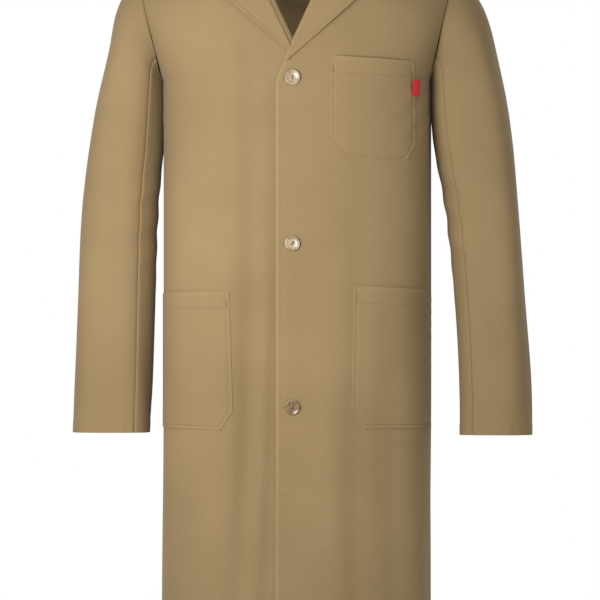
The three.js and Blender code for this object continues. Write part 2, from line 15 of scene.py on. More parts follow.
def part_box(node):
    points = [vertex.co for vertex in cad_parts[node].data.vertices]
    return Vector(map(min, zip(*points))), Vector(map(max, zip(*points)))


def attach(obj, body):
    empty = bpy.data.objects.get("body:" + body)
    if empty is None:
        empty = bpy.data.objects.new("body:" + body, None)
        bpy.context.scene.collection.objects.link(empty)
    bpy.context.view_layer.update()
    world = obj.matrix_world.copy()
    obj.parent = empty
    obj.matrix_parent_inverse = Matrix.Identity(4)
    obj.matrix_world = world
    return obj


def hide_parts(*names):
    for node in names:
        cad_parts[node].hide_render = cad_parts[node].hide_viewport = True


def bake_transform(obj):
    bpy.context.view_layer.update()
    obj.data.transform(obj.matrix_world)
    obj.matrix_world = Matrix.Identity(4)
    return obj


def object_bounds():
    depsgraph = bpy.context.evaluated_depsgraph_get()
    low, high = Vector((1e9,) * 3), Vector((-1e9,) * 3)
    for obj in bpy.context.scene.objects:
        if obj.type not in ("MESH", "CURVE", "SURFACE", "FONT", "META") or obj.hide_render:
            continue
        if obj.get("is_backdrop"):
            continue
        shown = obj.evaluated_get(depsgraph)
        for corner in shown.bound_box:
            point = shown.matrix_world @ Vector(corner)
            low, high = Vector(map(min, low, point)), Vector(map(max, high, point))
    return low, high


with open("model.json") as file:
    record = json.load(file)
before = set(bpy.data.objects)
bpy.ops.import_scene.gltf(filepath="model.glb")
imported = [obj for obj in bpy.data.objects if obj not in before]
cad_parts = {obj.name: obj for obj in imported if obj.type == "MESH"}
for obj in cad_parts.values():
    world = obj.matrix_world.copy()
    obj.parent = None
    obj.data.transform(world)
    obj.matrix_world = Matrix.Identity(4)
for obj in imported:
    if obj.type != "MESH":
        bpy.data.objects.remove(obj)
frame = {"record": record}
cad_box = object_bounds()

# ---- Sizes from the frame ----

CLOTH = 0.0011
LAYER = 0.0019
SIGN = {"left": 1, "right": -1}


def low(node, axis):
    return float(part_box(node)[0][axis])


def high(node, axis):
    return float(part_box(node)[1][axis])


def centre(node):
    lo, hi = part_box(node)
    return (np.array(lo) + np.array(hi)) / 2


JOINTS = {j["name"]: j for j in frame["record"]["behaviour"]["joints"]}
HEM_Z = low("back_left", 2)
TORSO_WIDTH = 0.192
HALF_DEPTH = 0.125
HEM_DEPTH = 0.150
SECTION_POWER = 3
SKIRT_TOP_Z = JOINTS["left_skirt_open"]["pos_m"][2]
OVERLAP = -JOINTS["left_skirt_open"]["pos_m"][0]
ARMPIT_Z = -0.224
TIP_X, TIP_Z = high("left_front", 0) + 0.001, high("left_sleeve_head", 2) + 0.001
NECK_X, NECK_Z = 0.077, -0.014
SHOULDER_ROUND = 0.090
WIDTH_GROWTH = 0.36
BREAK_X, BREAK_Z = -0.014, -0.204
ROLL_SLOPE = 0.47
SHOULDER_SLOPE = (NECK_Z - TIP_Z) / (TIP_X - NECK_X)
ARMHOLE_SLOPE = (TIP_X - TORSO_WIDTH) / (TIP_Z - ARMPIT_Z)
ELBOW_Z = JOINTS["left_elbow_bend"]["pos_m"][2]
SLEEVE_TOP_Z = -0.196
SLEEVE_SPLIT_Z = -0.330
FOREARM_SEAM = -0.62
HINDARM_SEAM = math.pi + 0.62

# Sleeve stations from top to cuff: height, inner edge, outer edge, half depth.
SLEEVES = {
    "left": [(-0.134, 0.194, 0.275, 0.062), (-0.196, 0.192, 0.290, 0.065), (-0.256, 0.1925, 0.303, 0.066),
             (-0.310, 0.1970, 0.311, 0.0635), (-0.398, 0.213, 0.319, 0.060), (-0.540, 0.228, 0.329, 0.054),
             (-0.682, 0.234, 0.338, 0.047), (low("left_cuff_hem", 2), 0.234, 0.338, 0.045)],
    "right": [(-0.134, 0.194, 0.262, 0.062), (-0.196, 0.192, 0.277, 0.065), (-0.256, 0.1925, 0.291, 0.066),
              (-0.310, 0.1945, 0.300, 0.0635), (-0.398, 0.202, 0.311, 0.060), (-0.540, 0.207, 0.318, 0.054),
              (-0.682, 0.211, 0.322, 0.047), (low("right_cuff_hem", 2), 0.213, 0.323, 0.045)],
}
SLEEVE_ROUNDNESS = 0.78


def smoothstep(x, start, end):
    t = np.clip((x - start) / (end - start), 0, 1)
    return t * t * (3 - 2 * t)


def lerp(a, b, t):
    return a + (b - a) * t


def bell(x, at, width):
    return np.exp(-((x - at) / width) ** 2)


def smooth_curve(x, stations, column):
    """Cubic curve through one column of a table whose first column falls, at x."""
    xs = np.array([row[0] for row in stations])[::-1]
    ys = np.array([row[column] for row in stations])[::-1]
    slope = np.gradient(ys, xs)
    x = np.clip(x, xs[0], xs[-1])
    i = np.clip(np.searchsorted(xs, x) - 1, 0, len(xs) - 2)
    span = xs[i + 1] - xs[i]
    t = (x - xs[i]) / span
    return ((2 * t**3 - 3 * t**2 + 1) * ys[i] + (t**3 - 2 * t**2 + t) * span * slope[i]
            + (3 * t**2 - 2 * t**3) * ys[i + 1] + (t**3 - t**2) * span * slope[i + 1])


# ---- The body surface ----

def half_width(z):
    return TORSO_WIDTH + WIDTH_GROWTH * np.maximum(0, z - ARMPIT_Z)


def half_depth(z):
    flare = np.clip((SKIRT_TOP_Z - z) / (SKIRT_TOP_Z - HEM_Z), 0, 1)
    return HALF_DEPTH + (HEM_DEPTH - HALF_DEPTH) * flare**1.85


def shoulder_z(x):
    outside = np.abs(x) - NECK_X
    inside = np.maximum(-outside, 0)
    sloping = NECK_Z - SHOULDER_SLOPE * outside
    return np.where(outside >= 0, sloping, NECK_Z + 0.6 * inside * (1 - 4.0 * inside))


def shoulder_round(x, z):
    t = np.clip((shoulder_z(x) - z) / SHOULDER_ROUND, 0, 1)
    return np.sqrt(1 - (1 - t) ** 2)


def section_depth(x, z):
    ratio = np.minimum(1, np.abs(x) / half_width(z))
    return half_depth(z) * (1 - ratio**SECTION_POWER) ** (1 / SECTION_POWER)


def angle_at_x(x, z):
    return np.arctan2(x, section_depth(x, z))


def body_base(angle, z):
    s, c = np.sin(angle), np.cos(angle)
    wide = (np.abs(s) / half_width(z)) ** SECTION_POWER
    deep = (np.abs(c) / half_depth(z)) ** SECTION_POWER
    radius = (wide + deep) ** (-1 / SECTION_POWER)
    x = radius * s
    return np.stack([x, -radius * c * shoulder_round(x, z), z + 0 * x], axis=-1)


def unit(v):
    return v / np.maximum(np.linalg.norm(v, axis=-1, keepdims=True), 1e-12)


def body_normal(angle, z):
    step = 1e-5
    along = body_base(angle + step, z) - body_base(angle - step, z)
    up = body_base(angle, z) - body_base(angle, z - step)
    return unit(np.cross(along, up))


# Hanging folds of the fronts: distance from the centre line, half width and height of each.
FRONT_FOLDS = (
    (-0.112, 0.034, 0.0040), (-0.068, 0.017, -0.0044), (-0.046, 0.012, 0.0027), (-0.030, 0.012, -0.0024),
    (0.055, 0.036, 0.0044), (0.090, 0.018, -0.0020),
)
# Waves round the whole body: number, height and phase, then how far, how fast and from where each wanders.
LOOSE_WAVES = (
    (7, 0.0016, 1.1, 1.3, 2.2, 0.4), (11, 0.0012, 2.6, -1.7, 2.9, 1.9), (19, 0.0006, 0.5, 2.4, 4.2, 3.0),
)
# Creases at each armpit: distance below it, slope and height of each.
ARMPIT_PULLS = ((0.000, 1.7, 0.0014), (0.026, 2.3, 0.0010), (0.055, 3.1, 0.0008))
SIDE_HOLLOW = 0.0100
SHOULDER_LAP = 0.0015


def body_folds(angle, z):
    """Soft hanging folds, shallow at the chest and deeper towards the hem, and the pulls at each armpit."""
    turn = np.mod(angle + math.pi, 2 * math.pi) - math.pi
    front = smoothstep(np.cos(turn), 0.25, 0.65)
    across = HALF_DEPTH * np.tan(np.clip(turn, -1.15, 1.15))
    drift = 0.006 * np.sin(5.1 * z + 0.8)
    hanging = 0
    for at, width, height in FRONT_FOLDS:
        hanging = hanging + height * bell(across + drift, at, width)
    skirt = smoothstep(-z, 0.55, 0.95)
    hanging = hanging - SIDE_HOLLOW * smoothstep(across, 0.060, 0.180) * (0.35 + 0.65 * skirt)
    loose = 0
    for number, height, phase, far, fast, start in LOOSE_WAVES:
        loose = loose + height * np.sin(number * turn + phase + far * np.sin(fast * z + start))
    hang = 0.12 + 0.88 * smoothstep(-z, 0.22, 0.78)
    still = 1 - 0.8 * smoothstep(z, -0.20, -0.09)
    waves = (hanging * front + loose * lerp(1, 0.45, front) * (0.4 + 0.6 * skirt)) * hang
    return waves * still + armpit_pulls(turn, z)


def armpit_pulls(turn, z):
    """Short creases that run down and inwards from each armpit, stronger on the wearer's left."""
    side = np.where(turn > 0, 1.0, -1.0)
    out = np.abs(np.sin(turn))
    total = 0
    for below, slope, size in ARMPIT_PULLS:
        drop = ARMPIT_Z + 0.012 - z - below
        line = (1.0 - out) * 0.19 * slope - drop
        fade = smoothstep(out, 0.62, 0.97) * bell(drop, 0.03, 0.05)
        total = total + size * bell(line, 0, 0.010) * fade
    return total * (1 + 0.3 * side) * (z < ARMPIT_Z + 0.03)


def lapped(points, v, toward):
    """Carries a panel's top rows past the shoulder line, so that front and back meet there."""
    shift = toward * SHOULDER_LAP * smoothstep(v, 0.985, 1.0)
    return points + shift[..., None] * np.array([0, 1, 0])


def off_body(angle, z, height):
    return body_base(angle, z) + body_normal(angle, z) * np.asarray(height)[..., None]


def on_body(angle, z, lift=0.0):
    return off_body(angle, z, lift + body_folds(angle, z))


def at_x(x, z, lift=0.0):
    return on_body(angle_at_x(x, z), z, lift)


def mirrored(points):
    return points * np.array([-1.0, 1.0, 1.0])


def armhole_x(z):
    return TORSO_WIDTH + ARMHOLE_SLOPE * (z - ARMPIT_Z)


SEAM_OVERLAP = 0.004
BREAK_CURVE = 0.036


def side_angle(z):
    """The angle of the side seam, and above the armpit of the armhole seam."""
    above = angle_at_x(armhole_x(z), z)
    return np.where(z <= ARMPIT_Z, math.pi / 2 + SEAM_OVERLAP, above)


def front_edge_x(z):
    """The front edge, which becomes the lapel's roll line above the break point."""
    roll = BREAK_X + ROLL_SLOPE * (z - BREAK_Z)
    below = np.clip((BREAK_Z - z) / BREAK_CURVE, 0, 1)
    return np.where(z > BREAK_Z, roll, lerp(BREAK_X, -OVERLAP, below * (2 - below)))


LOWER_SHARE = 0.72
TOP_MARGIN = 0.000001
TOP_CROWDING = 2.2


def panel_angle_z(u, v, angle_for, top_for):
    """Angle and height of a panel's grid: rows from the hem to the armpit, then to the shoulder."""
    top = np.full_like(u, TIP_Z)
    for _ in range(24):
        top = top_for(body_base(angle_for(u, top), top)[..., 0])
    left = np.clip(1 - (v - LOWER_SHARE) / (1 - LOWER_SHARE), 0, 1)
    upper = lerp(top, ARMPIT_Z, left**TOP_CROWDING)
    lower = lerp(HEM_Z, ARMPIT_Z, np.minimum(v / LOWER_SHARE, 1))
    z = np.where(v <= LOWER_SHARE, lower, upper)
    return angle_for(u, z), z


# ---- Mesh building ----

# Distance from a rounded edge, and share of the thickness there.
EDGE = (0.0, 0.0004, 0.0010)
EDGE_SHARE = (0.30, 0.80, 1.0)
# Width of the painted highlight along the rolled edges.
EDGE_HIGHLIGHT_WIDTH = 0.003


def steps(count, length, rounded=(True, True)):
    """Parameters from 0 to 1, with close rows at a rounded edge, and the thickness share at each."""
    inner = list(np.linspace(0, 1, count + 1))
    share = [1.0] * len(inner)
    if rounded[0]:
        inner[0:1] = [e / length for e in EDGE]
        share[0:1] = EDGE_SHARE
    if rounded[1]:
        inner[-1:] = [1 - e / length for e in reversed(EDGE)]
        share[-1:] = reversed(EDGE_SHARE)
    return np.array(inner), np.array(share)


def new_object(name, vertices, faces, material, sharp=0.7):
    mesh = bpy.data.meshes.new(name)
    mesh.from_pydata(np.asarray(vertices).reshape(-1, 3).tolist(), [], faces)
    mesh.validate()
    mesh.shade_smooth()
    mesh.set_sharp_from_angle(angle=sharp)
    mesh.materials.append(material)
    obj = bpy.data.objects.new(name, mesh)
    bpy.context.scene.collection.objects.link(obj)
    return obj


def grid_faces(rows, columns):
    """Quads of a closed shell made of an outer and an inner grid."""
    index = np.arange(2 * rows * columns).reshape(2, rows, columns)
    outer, inner = index
    faces = []

    def quads(a, b, c, d):
        faces.extend(np.stack([a.ravel(), b.ravel(), c.ravel(), d.ravel()], axis=-1).tolist())

    quads(outer[:-1, :-1], outer[:-1, 1:], outer[1:, 1:], outer[1:, :-1])
    quads(inner[:-1, :-1], inner[1:, :-1], inner[1:, 1:], inner[:-1, 1:])
    quads(outer[0, :-1], inner[0, :-1], inner[0, 1:], outer[0, 1:])
    quads(outer[-1, :-1], outer[-1, 1:], inner[-1, 1:], inner[-1, :-1])
    quads(outer[:-1, 0], outer[1:, 0], inner[1:, 0], inner[:-1, 0])
    quads(outer[:-1, -1], inner[:-1, -1], inner[1:, -1], outer[1:, -1])
    return faces


def run_lengths(points, axis):
    gaps = np.linalg.norm(np.diff(points, axis=axis), axis=-1)
    total = np.cumsum(gaps, axis=axis)
    zero = np.zeros_like(np.take(total, [0], axis=axis))
    return np.concatenate([zero, total], axis=axis)


def cloth(name, surface, size, cells, material, thickness=CLOTH, rounded=(True,) * 4, edge_highlight=(0,) * 4):
    """A sheet whose outer face is surface(u, v), v upwards and u to its right seen from outside.

    size is its rough width and length. rounded says which edges are rolled over, and edge_highlight
    how much painted highlight each edge gets, in the order low u, high u, low v and high v.
    """
    us, u_share = steps(cells[0], size[0], rounded[:2])
    vs, v_share = steps(cells[1], size[1], rounded[2:])
    u, v = np.meshgrid(us, vs)
    points = surface(u, v)
    along = np.gradient(points, axis=1)
    up = np.gradient(points, axis=0)
    normal = unit(np.cross(unit(along), unit(up)))
    share = np.minimum.outer(v_share, u_share)[..., None]
    middle = points - normal * thickness / 2
    outer = middle + normal * thickness / 2 * share
    inner = middle - normal * thickness / 2 * share
    rows, columns = u.shape
    obj = new_object(name, np.stack([outer, inner]), grid_faces(rows, columns), material)

    across, length = run_lengths(middle, 1), run_lengths(middle, 0)
    flat_uv = np.stack([across, length], axis=-1)
    coords = np.concatenate([flat_uv.reshape(-1, 2)] * 2)
    loops = np.empty(len(obj.data.loops), int)
    obj.data.loops.foreach_get("vertex_index", loops)
    layer = obj.data.uv_layers.new(name="cloth")
    layer.data.foreach_set("uv", coords[loops].astype(np.float32).ravel())

    # Painted highlight: the colour lightens within a few millimetres of each chosen edge, kept in the edge
    # attribute.
    gaps = (across, across[:, -1:] - across, length, length[-1:, :] - length)
    edge = np.zeros(u.shape)
    for gap, brightened in zip(gaps, edge_highlight):
        edge = np.maximum(edge, np.exp(-gap / EDGE_HIGHLIGHT_WIDTH) * brightened)
    edge = edge.reshape(-1)
    attribute = obj.data.attributes.new("edge", "FLOAT", "POINT")
    attribute.data.foreach_set("value", np.concatenate([edge, edge]).astype(np.float32))

    corner = middle[:-1, :-1]
    cells_area = np.linalg.norm(np.cross(middle[1:, :-1] - corner, middle[:-1, 1:] - corner), axis=-1).sum()
    width, height = float(across[:, -1].max()), float(length[-1, :].max())
    area = float(min(cells_area, width * height))
    obj["flat"] = [width, height, area]
    return obj


def declare(obj, body_nodes):
    """Drops the cloth piece's flat-size entry and hides the solids it stands for."""
    del obj["flat"]
    if body_nodes:
        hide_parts(*body_nodes)


def stitches(name, points, normals, material, pitch=0.0034, length=0.0024, radius=0.00034):
    """A row of short threads lying along a path of points, each a small spindle half sunk in the cloth."""
    run = run_lengths(points, 0)
    count = max(2, int(run[-1] / pitch))
    at = (np.arange(count) + 0.5) / count * run[-1]
    middle = np.stack([np.interp(at, run, points[:, k]) for k in range(3)], axis=-1)
    ahead = np.stack([np.interp(at + pitch / 4, run, points[:, k]) for k in range(3)], axis=-1)
    behind = np.stack([np.interp(at - pitch / 4, run, points[:, k]) for k in range(3)], axis=-1)
    normal = unit(np.stack([np.interp(at, run, normals[:, k]) for k in range(3)], axis=-1))
    tangent = unit(ahead - behind)
    side = np.cross(tangent, normal)
    corners = np.stack([
        middle - tangent * length / 2 - normal * radius * 0.6,
        middle + side * radius,
        middle + normal * radius,
        middle - side * radius,
        middle - normal * radius,
        middle + tangent * length / 2 - normal * radius * 0.6,
    ], axis=1)
    faces = []
    for k in range(count):
        first = 6 * k
        for a, b in ((1, 2), (2, 3), (3, 4), (4, 1)):
            faces.append((first, first + b, first + a))
            faces.append((first + 5, first + a, first + b))
    row = new_object(name, corners, faces, material, sharp=3.0)
    return row


def tube(name, path, radius, material, sides=10, flat=1.0, up=(0, 0, 1)):
    """A closed tube along a path; flat squeezes it along up."""
    path = np.asarray(path, float)
    tangent = unit(np.gradient(path, axis=0))
    side = unit(np.cross(tangent, np.array(up, float)))
    over = np.cross(side, tangent)
    turn = np.linspace(0, 2 * math.pi, sides, endpoint=False)
    cos, sin = np.cos(turn)[None, :, None], np.sin(turn)[None, :, None]
    ring = cos * side[:, None, :] + flat * sin * over[:, None, :]
    scale = np.ones(len(path))
    scale[[0, -1]] = 0.55
    points = path[:, None, :] + ring * radius * scale[:, None, None]
    faces = []
    for row in range(len(path) - 1):
        for k in range(sides):
            a, b = row * sides + k, row * sides + (k + 1) % sides
            faces.append((a, b, b + sides, a + sides))
    faces.append(tuple(range(sides))[::-1])
    faces.append(tuple(range((len(path) - 1) * sides, len(path) * sides)))
    obj = new_object(name, points, faces, material, sharp=1.2)
    fix_normals(obj)
    return obj


def fix_normals(obj):
    bm = bmesh.new()
    bm.from_mesh(obj.data)
    bmesh.ops.recalc_face_normals(bm, faces=bm.faces)
    bm.to_mesh(obj.data)
    bm.free()


# ---- Materials ----

def srgb(r, g, b):
    """Linear colour from 0-255 display values."""
    linear = (((c / 255 + 0.055) / 1.055) ** 2.4 if c > 10 else c / 255 / 12.92 for c in (r, g, b))
    return (*linear, 1.0)


def new_material(name, **sockets):
    """A material with these values on its shader's own sockets."""
    material = bpy.data.materials.new(name)
    material.use_nodes = True
    shader = material.node_tree.nodes["Principled BSDF"]
    for socket, value in sockets.items():
        shader.inputs[socket.replace("_", " ")].default_value = value
    return material, material.node_tree, shader


def add_node(tree, kind, sockets=None, feeds=None):
    """A new shader node: sockets gives values to its sockets, feeds the outputs linked into them."""
    made = tree.nodes.new("ShaderNode" + kind)
    for socket, value in (sockets or {}).items():
        made.inputs[socket].default_value = value
    for socket, output in (feeds or {}).items():
        tree.links.new(output, made.inputs[socket])
    return made


def add_ramp(tree, factor, low_stop, high_stop):
    """A two-colour ramp; each stop is its position and colour."""
    ramp = add_node(tree, "ValToRGB", feeds={"Fac": factor})
    for element, (position, colour) in zip(ramp.color_ramp.elements, (low_stop, high_stop)):
        element.position = position
        element.color = tuple(colour)
    return ramp.outputs["Color"]


def tinted(base, *gain):
    return np.minimum(base * [*gain, 1], 1)


def cloth_material(name, colour, roughness=0.86, sheen=0.10, twill=0.00085, weave=0.35, edge_light=0.35):
    """Fine cotton twill: diagonal ribs, slub threads, faint dye variation and a painted highlight along the
    rolled edges.
    """
    material, tree, shader = new_material(name, Roughness=roughness, Sheen_Weight=sheen, Sheen_Roughness=0.45,
                                          Specular_IOR_Level=0.22)
    uv = add_node(tree, "UVMap")
    uv.uv_map = "cloth"
    turned = add_node(tree, "Mapping", {"Rotation": (0, 0, math.radians(58))},
                      {"Vector": uv.outputs["UV"]})
    ribs = add_node(tree, "TexWave",
                    {"Scale": 0.314 / twill, "Distortion": 1.2, "Detail": 2, "Detail Scale": 1.5},
                    {"Vector": turned.outputs["Vector"]})
    stretched = add_node(tree, "Mapping", {"Scale": (900, 60, 1)}, {"Vector": uv.outputs["UV"]})
    slub = add_node(tree, "TexNoise", {"Scale": 1, "Detail": 3},
                    {"Vector": stretched.outputs["Vector"]})
    place = add_node(tree, "TexCoord")
    cloudy = add_node(tree, "TexNoise", {"Scale": 7, "Detail": 4}, {"Vector": place.outputs["Object"]})

    base = np.array(srgb(*colour))
    dye = add_ramp(tree, cloudy.outputs["Fac"], (0.32, base * [0.92, 0.92, 0.90, 1]),
                   (0.68, tinted(base, 1.06, 1.06, 1.07)))
    threads = add_node(tree, "MixRGB", {"Fac": 0.16}, {"Color1": dye, "Color2": slub.outputs["Fac"]})
    threads.blend_type = "MULTIPLY"
    lift = add_node(tree, "MixRGB", {"Fac": 1.0, "Color2": tuple(base * [0.08, 0.08, 0.08, 1])},
                    {"Color1": threads.outputs["Color"]})
    lift.blend_type = "ADD"
    # Painted highlight: the colour is lifted towards a light khaki along the rolled edges, by the edge
    # attribute.
    edge_highlight = add_node(tree, "Attribute")
    edge_highlight.attribute_name = "edge"
    fade = add_node(tree, "Math")
    fade.operation = "MULTIPLY"
    fade.inputs[1].default_value = edge_light
    tree.links.new(edge_highlight.outputs["Fac"], fade.inputs[0])
    edges = add_node(tree, "MixRGB", {"Color2": tuple(np.minimum(base * 1.9, 1))},
                     {"Fac": fade.outputs["Value"], "Color1": lift.outputs["Color"]})
    tree.links.new(edges.outputs["Color"], shader.inputs["Base Color"])

    height = add_node(tree, "MixRGB", {"Fac": 0.4},
                      {"Color1": ribs.outputs["Fac"], "Color2": slub.outputs["Fac"]})
    bump = add_node(tree, "Bump", {"Strength": weave, "Distance": 0.0002},
                    {"Height": height.outputs["Color"]})
    tree.links.new(bump.outputs["Normal"], shader.inputs["Normal"])
    return material


def thread_material(name, colour):
    """Matt thread with a fine unevenness."""
    material, tree, shader = new_material(name, Roughness=0.62, Sheen_Weight=0.2)
    place = add_node(tree, "TexCoord")
    noise = add_node(tree, "TexNoise", {"Scale": 900}, {"Vector": place.outputs["Object"]})
    base = np.array(srgb(*colour))
    dye = add_ramp(tree, noise.outputs["Fac"], (0, base * [0.8, 0.8, 0.8, 1]),
                   (1, tinted(base, 1.15, 1.15, 1.15)))
    tree.links.new(dye, shader.inputs["Base Color"])
    return material


def pearl_material(name, light, dark):
    """Moulded button with swirls of cream and brown under a clear gloss."""
    material, tree, shader = new_material(name, Roughness=0.24, Coat_Weight=0.5, Coat_Roughness=0.08)
    place = add_node(tree, "TexCoord")
    swirl = add_node(tree, "TexNoise", {"Scale": 70, "Detail": 5, "Distortion": 1.6},
                     {"Vector": place.outputs["Object"]})
    colours = add_ramp(tree, swirl.outputs["Fac"], (0.36, srgb(*dark)), (0.62, srgb(*light)))
    tree.links.new(colours, shader.inputs["Base Color"])
    return material


KHAKI = cloth_material("khaki_twill", (141, 119, 84))
KHAKI_UNDER = cloth_material("khaki_twill_inside", (134, 112, 78), sheen=0.08)
RED = cloth_material("red_ribbon", (196, 26, 30), roughness=0.55, sheen=0.3, twill=0.0006, edge_light=0.0)
LABEL = cloth_material("label_ribbon", (226, 218, 198), roughness=0.6, twill=0.0005, edge_light=0.0)
THREAD = thread_material("khaki_thread", (143, 119, 84))
# The pocket stitching thread is darker than the cloth: painted shade of the stitch grooves.
GROOVE_SHADE_THREAD = thread_material("thread_darkened_for_groove_shade", (104, 84, 56))
BUTTON_THREAD = thread_material("button_thread", (96, 72, 46))
PEARL = pearl_material("pearl_button", (168, 150, 120), (126, 104, 76))
PEARL_BROWN = pearl_material("pearl_button_brown", (142, 116, 80), (102, 78, 50))

# ---- Camera, lights and stage ----

CAMERA_DISTANCE = 9.0
PICTURE_WIDTH = 0.852
CAMERA_TURN = math.radians(3.2)
AIM_X, AIM_Z = 0.0035, -0.5396
FLOOR_HALF, FLOOR_DROP = 3.0, 0.25


def link_at(obj, place, rotation):
    bpy.context.scene.collection.objects.link(obj)
    obj.location = place
    obj.rotation_euler = rotation


def add_camera():
    """Level and almost square to the front, framing the coat from its chest to its skirt."""
    data = bpy.data.cameras.new("camera")
    obj = bpy.data.objects.new("camera", data)
    reach = CAMERA_DISTANCE + HALF_DEPTH
    data.sensor_width = 36
    data.lens = data.sensor_width * CAMERA_DISTANCE / PICTURE_WIDTH
    place = (AIM_X + reach * math.sin(CAMERA_TURN), -reach * math.cos(CAMERA_TURN), AIM_Z)
    link_at(obj, place, (math.pi / 2, 0, CAMERA_TURN))
    bpy.context.scene.camera = obj


def add_light(name, kind, place, aim, power):
    data = bpy.data.lights.new(name, kind)
    data.energy = power
    aimed = (Vector(aim) - Vector(place)).to_track_quat("-Z", "Y").to_euler()
    link_at(bpy.data.objects.new(name, data), place, aimed)
    return data


def add_lights():
    """A soft light from the wearer's right, and a narrow one down the neck onto the inside of the back."""
    key = add_light("key", "AREA", (-0.42, -0.98, -0.36), (0, 0, -0.38), 10)
    key.shape = "DISK"
    key.size = 0.6
    neck = add_light("neck", "SPOT", (0, -1.0, 1.2), (0, 0.06, -0.10), 110)
    neck.spot_size = math.radians(8)
    neck.spot_blend = 0.8
    neck.shadow_soft_size = 0.15


def add_world():
    """A white studio, dimmer straight above and below."""
    world = bpy.data.worlds.new("studio")
    world.use_nodes = True
    tree = world.node_tree
    direction = add_node(tree, "TexCoord")
    parts = add_node(tree, "SeparateXYZ", feeds={"Vector": direction.outputs["Generated"]})
    height = add_node(tree, "Math")
    height.operation = "ABSOLUTE"
    tree.links.new(parts.outputs["Z"], height.inputs[0])
    fade = add_node(tree, "MapRange", {"From Min": 0.10, "From Max": 0.55, "To Min": 1.0, "To Max": 0.42},
                    {"Value": height.outputs["Value"]})
    fade.interpolation_type = "SMOOTHSTEP"
    background = tree.nodes["Background"]
    background.inputs["Color"].default_value = (1, 1, 1, 1)
    tree.links.new(fade.outputs["Result"], background.inputs["Strength"])
    bpy.context.scene.world = world
    bpy.context.scene.view_settings.view_transform = "Standard"


def add_floor():
    half, z = FLOOR_HALF, HEM_Z - FLOOR_DROP
    mesh = bpy.data.meshes.new("floor")
    corners = [(-half, -half, z), (half, -half, z), (half, half, z), (-half, half, z)]
    mesh.from_pydata(corners, [], [(0, 1, 2, 3)])
    pale, _, _ = new_material("pale_floor", Base_Color=(0.8, 0.8, 0.79, 1), Roughness=0.9)
    mesh.materials.append(pale)
    floor = bpy.data.objects.new("floor", mesh)
    bpy.context.scene.collection.objects.link(floor)
    floor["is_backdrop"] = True


# ---- Which body each piece follows ----


def skirt_blend(obj, side):
    """Bakes the piece's transform into its mesh; the skirt's fold-line hinge is read but the cloth is not set
    to turn about it.
    """
    hinge = JOINTS[f"{side}_skirt_open"]
    top = Vector(hinge["pos_m"])
    axis = Vector(hinge["axis"])
    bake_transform(obj)


def ride_body(obj, body="coat_body"):
    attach(obj, body)


# ---- Fronts and back ----

SEAM_TUCK = 0.0009
GROOVE = 0.0005
HEM_PAD = 0.0004
HEM_HEIGHT = 0.025
FACING_WIDTH = 0.066
STITCH_LIFT = 0.0002


def pucker(z, pitch):
    return np.sin(2 * math.pi * z / pitch + 1.4 * np.sin(z * 37))


def seam_tuck(share):
    """Draws a panel in beside the seam at share 1."""
    return -SEAM_TUCK * smoothstep(share, 0.9955, 1.0)


def hem_fold(z, foot, height, width=0.0015):
    """The groove of a hem's stitching, and the thicker cloth below it."""
    return -GROOVE * bell(z, foot + height, width) + HEM_PAD * (z < foot + height - 0.001)


def front_grid(u, v):
    def angle_for(share, z):
        return lerp(angle_at_x(front_edge_x(z), z), side_angle(z), share)
    return panel_angle_z(u, v, angle_for, lambda x: shoulder_z(x) - TOP_MARGIN)


def front_lift(x, z):
    """Rolled front edge with a stitched, puckered groove; x grows towards this front's side seam."""
    from_edge = x - front_edge_x(z)
    closed = 1 - smoothstep(z, BREAK_Z - 0.03, BREAK_Z)
    groove = -GROOVE * bell(from_edge, 0.008, 0.0015) * closed
    roll = 0.0006 * bell(from_edge, 0.003, 0.003) * closed
    loose = 0.35 + 0.65 * smoothstep(-z, 0.62, 0.74)
    ripple = 0.00090 * pucker(z, 0.0145) * bell(from_edge, 0.007, 0.007) * closed * loose
    return groove + roll + ripple + hem_fold(z, HEM_Z, HEM_HEIGHT)


def sink(side, x, z):
    """How deep the wearer's right front lies under the left front and its facing; x as in front_lift."""
    if side == "left":
        return 0
    near = smoothstep(-x, -0.088, -0.050)
    below = 1 - smoothstep(z, -0.185, -0.110)
    return -2 * LAYER * near * below


def front_surface(side):
    def surface(u, v):
        share = u if side == "left" else 1 - u
        angle, z = front_grid(share, v)
        x = body_base(angle, z)[..., 0]
        lift = front_lift(x, z) + sink(side, x, z) + seam_tuck(share)
        return lapped(on_body(SIGN[side] * angle, z, lift), v, 1)
    return surface


def facing_surface(side):
    def surface(u, v):
        across = u if side == "left" else 1 - u
        z = lerp(HEM_Z + 0.003, BREAK_Z - 0.004, v)
        x = front_edge_x(z) + 0.0012 + FACING_WIDTH * across
        return at_x(SIGN[side] * x, z, -LAYER + sink(side, x, z))
    return surface


def add_fronts():
    # Each front gets a painted highlight along its front edge and its hem.
    for side, edge_highlight in (("left", (0.8, 0, 0.5, 0)), ("right", (0, 0.8, 0.5, 0))):
        front = cloth(f"{side}_front_cloth", front_surface(side), (0.25, 1.07), (96, 230), KHAKI, edge_highlight=edge_highlight)
        declare(front, [f"{side}_front", f"{side}_front_skirt"])
        skirt_blend(front, side)
    for side in SIGN:
        facing = cloth(f"{side}_facing_cloth", facing_surface(side), (FACING_WIDTH, 0.87), (14, 200),
                       KHAKI_UNDER)
        nodes = [f"{side}_front_facing", f"{side}_skirt_facing"]
        declare(facing, nodes)
        skirt_blend(facing, side)


def back_grid(u, v):
    def angle_for(share, z):
        return lerp(math.pi - side_angle(z), math.pi + SEAM_OVERLAP, share)

    def top_for(x):
        inside = np.minimum(1, np.abs(x) / NECK_X)
        return np.minimum(NECK_Z * inside**2, shoulder_z(x) - TOP_MARGIN)
    return panel_angle_z(u, v, angle_for, top_for)


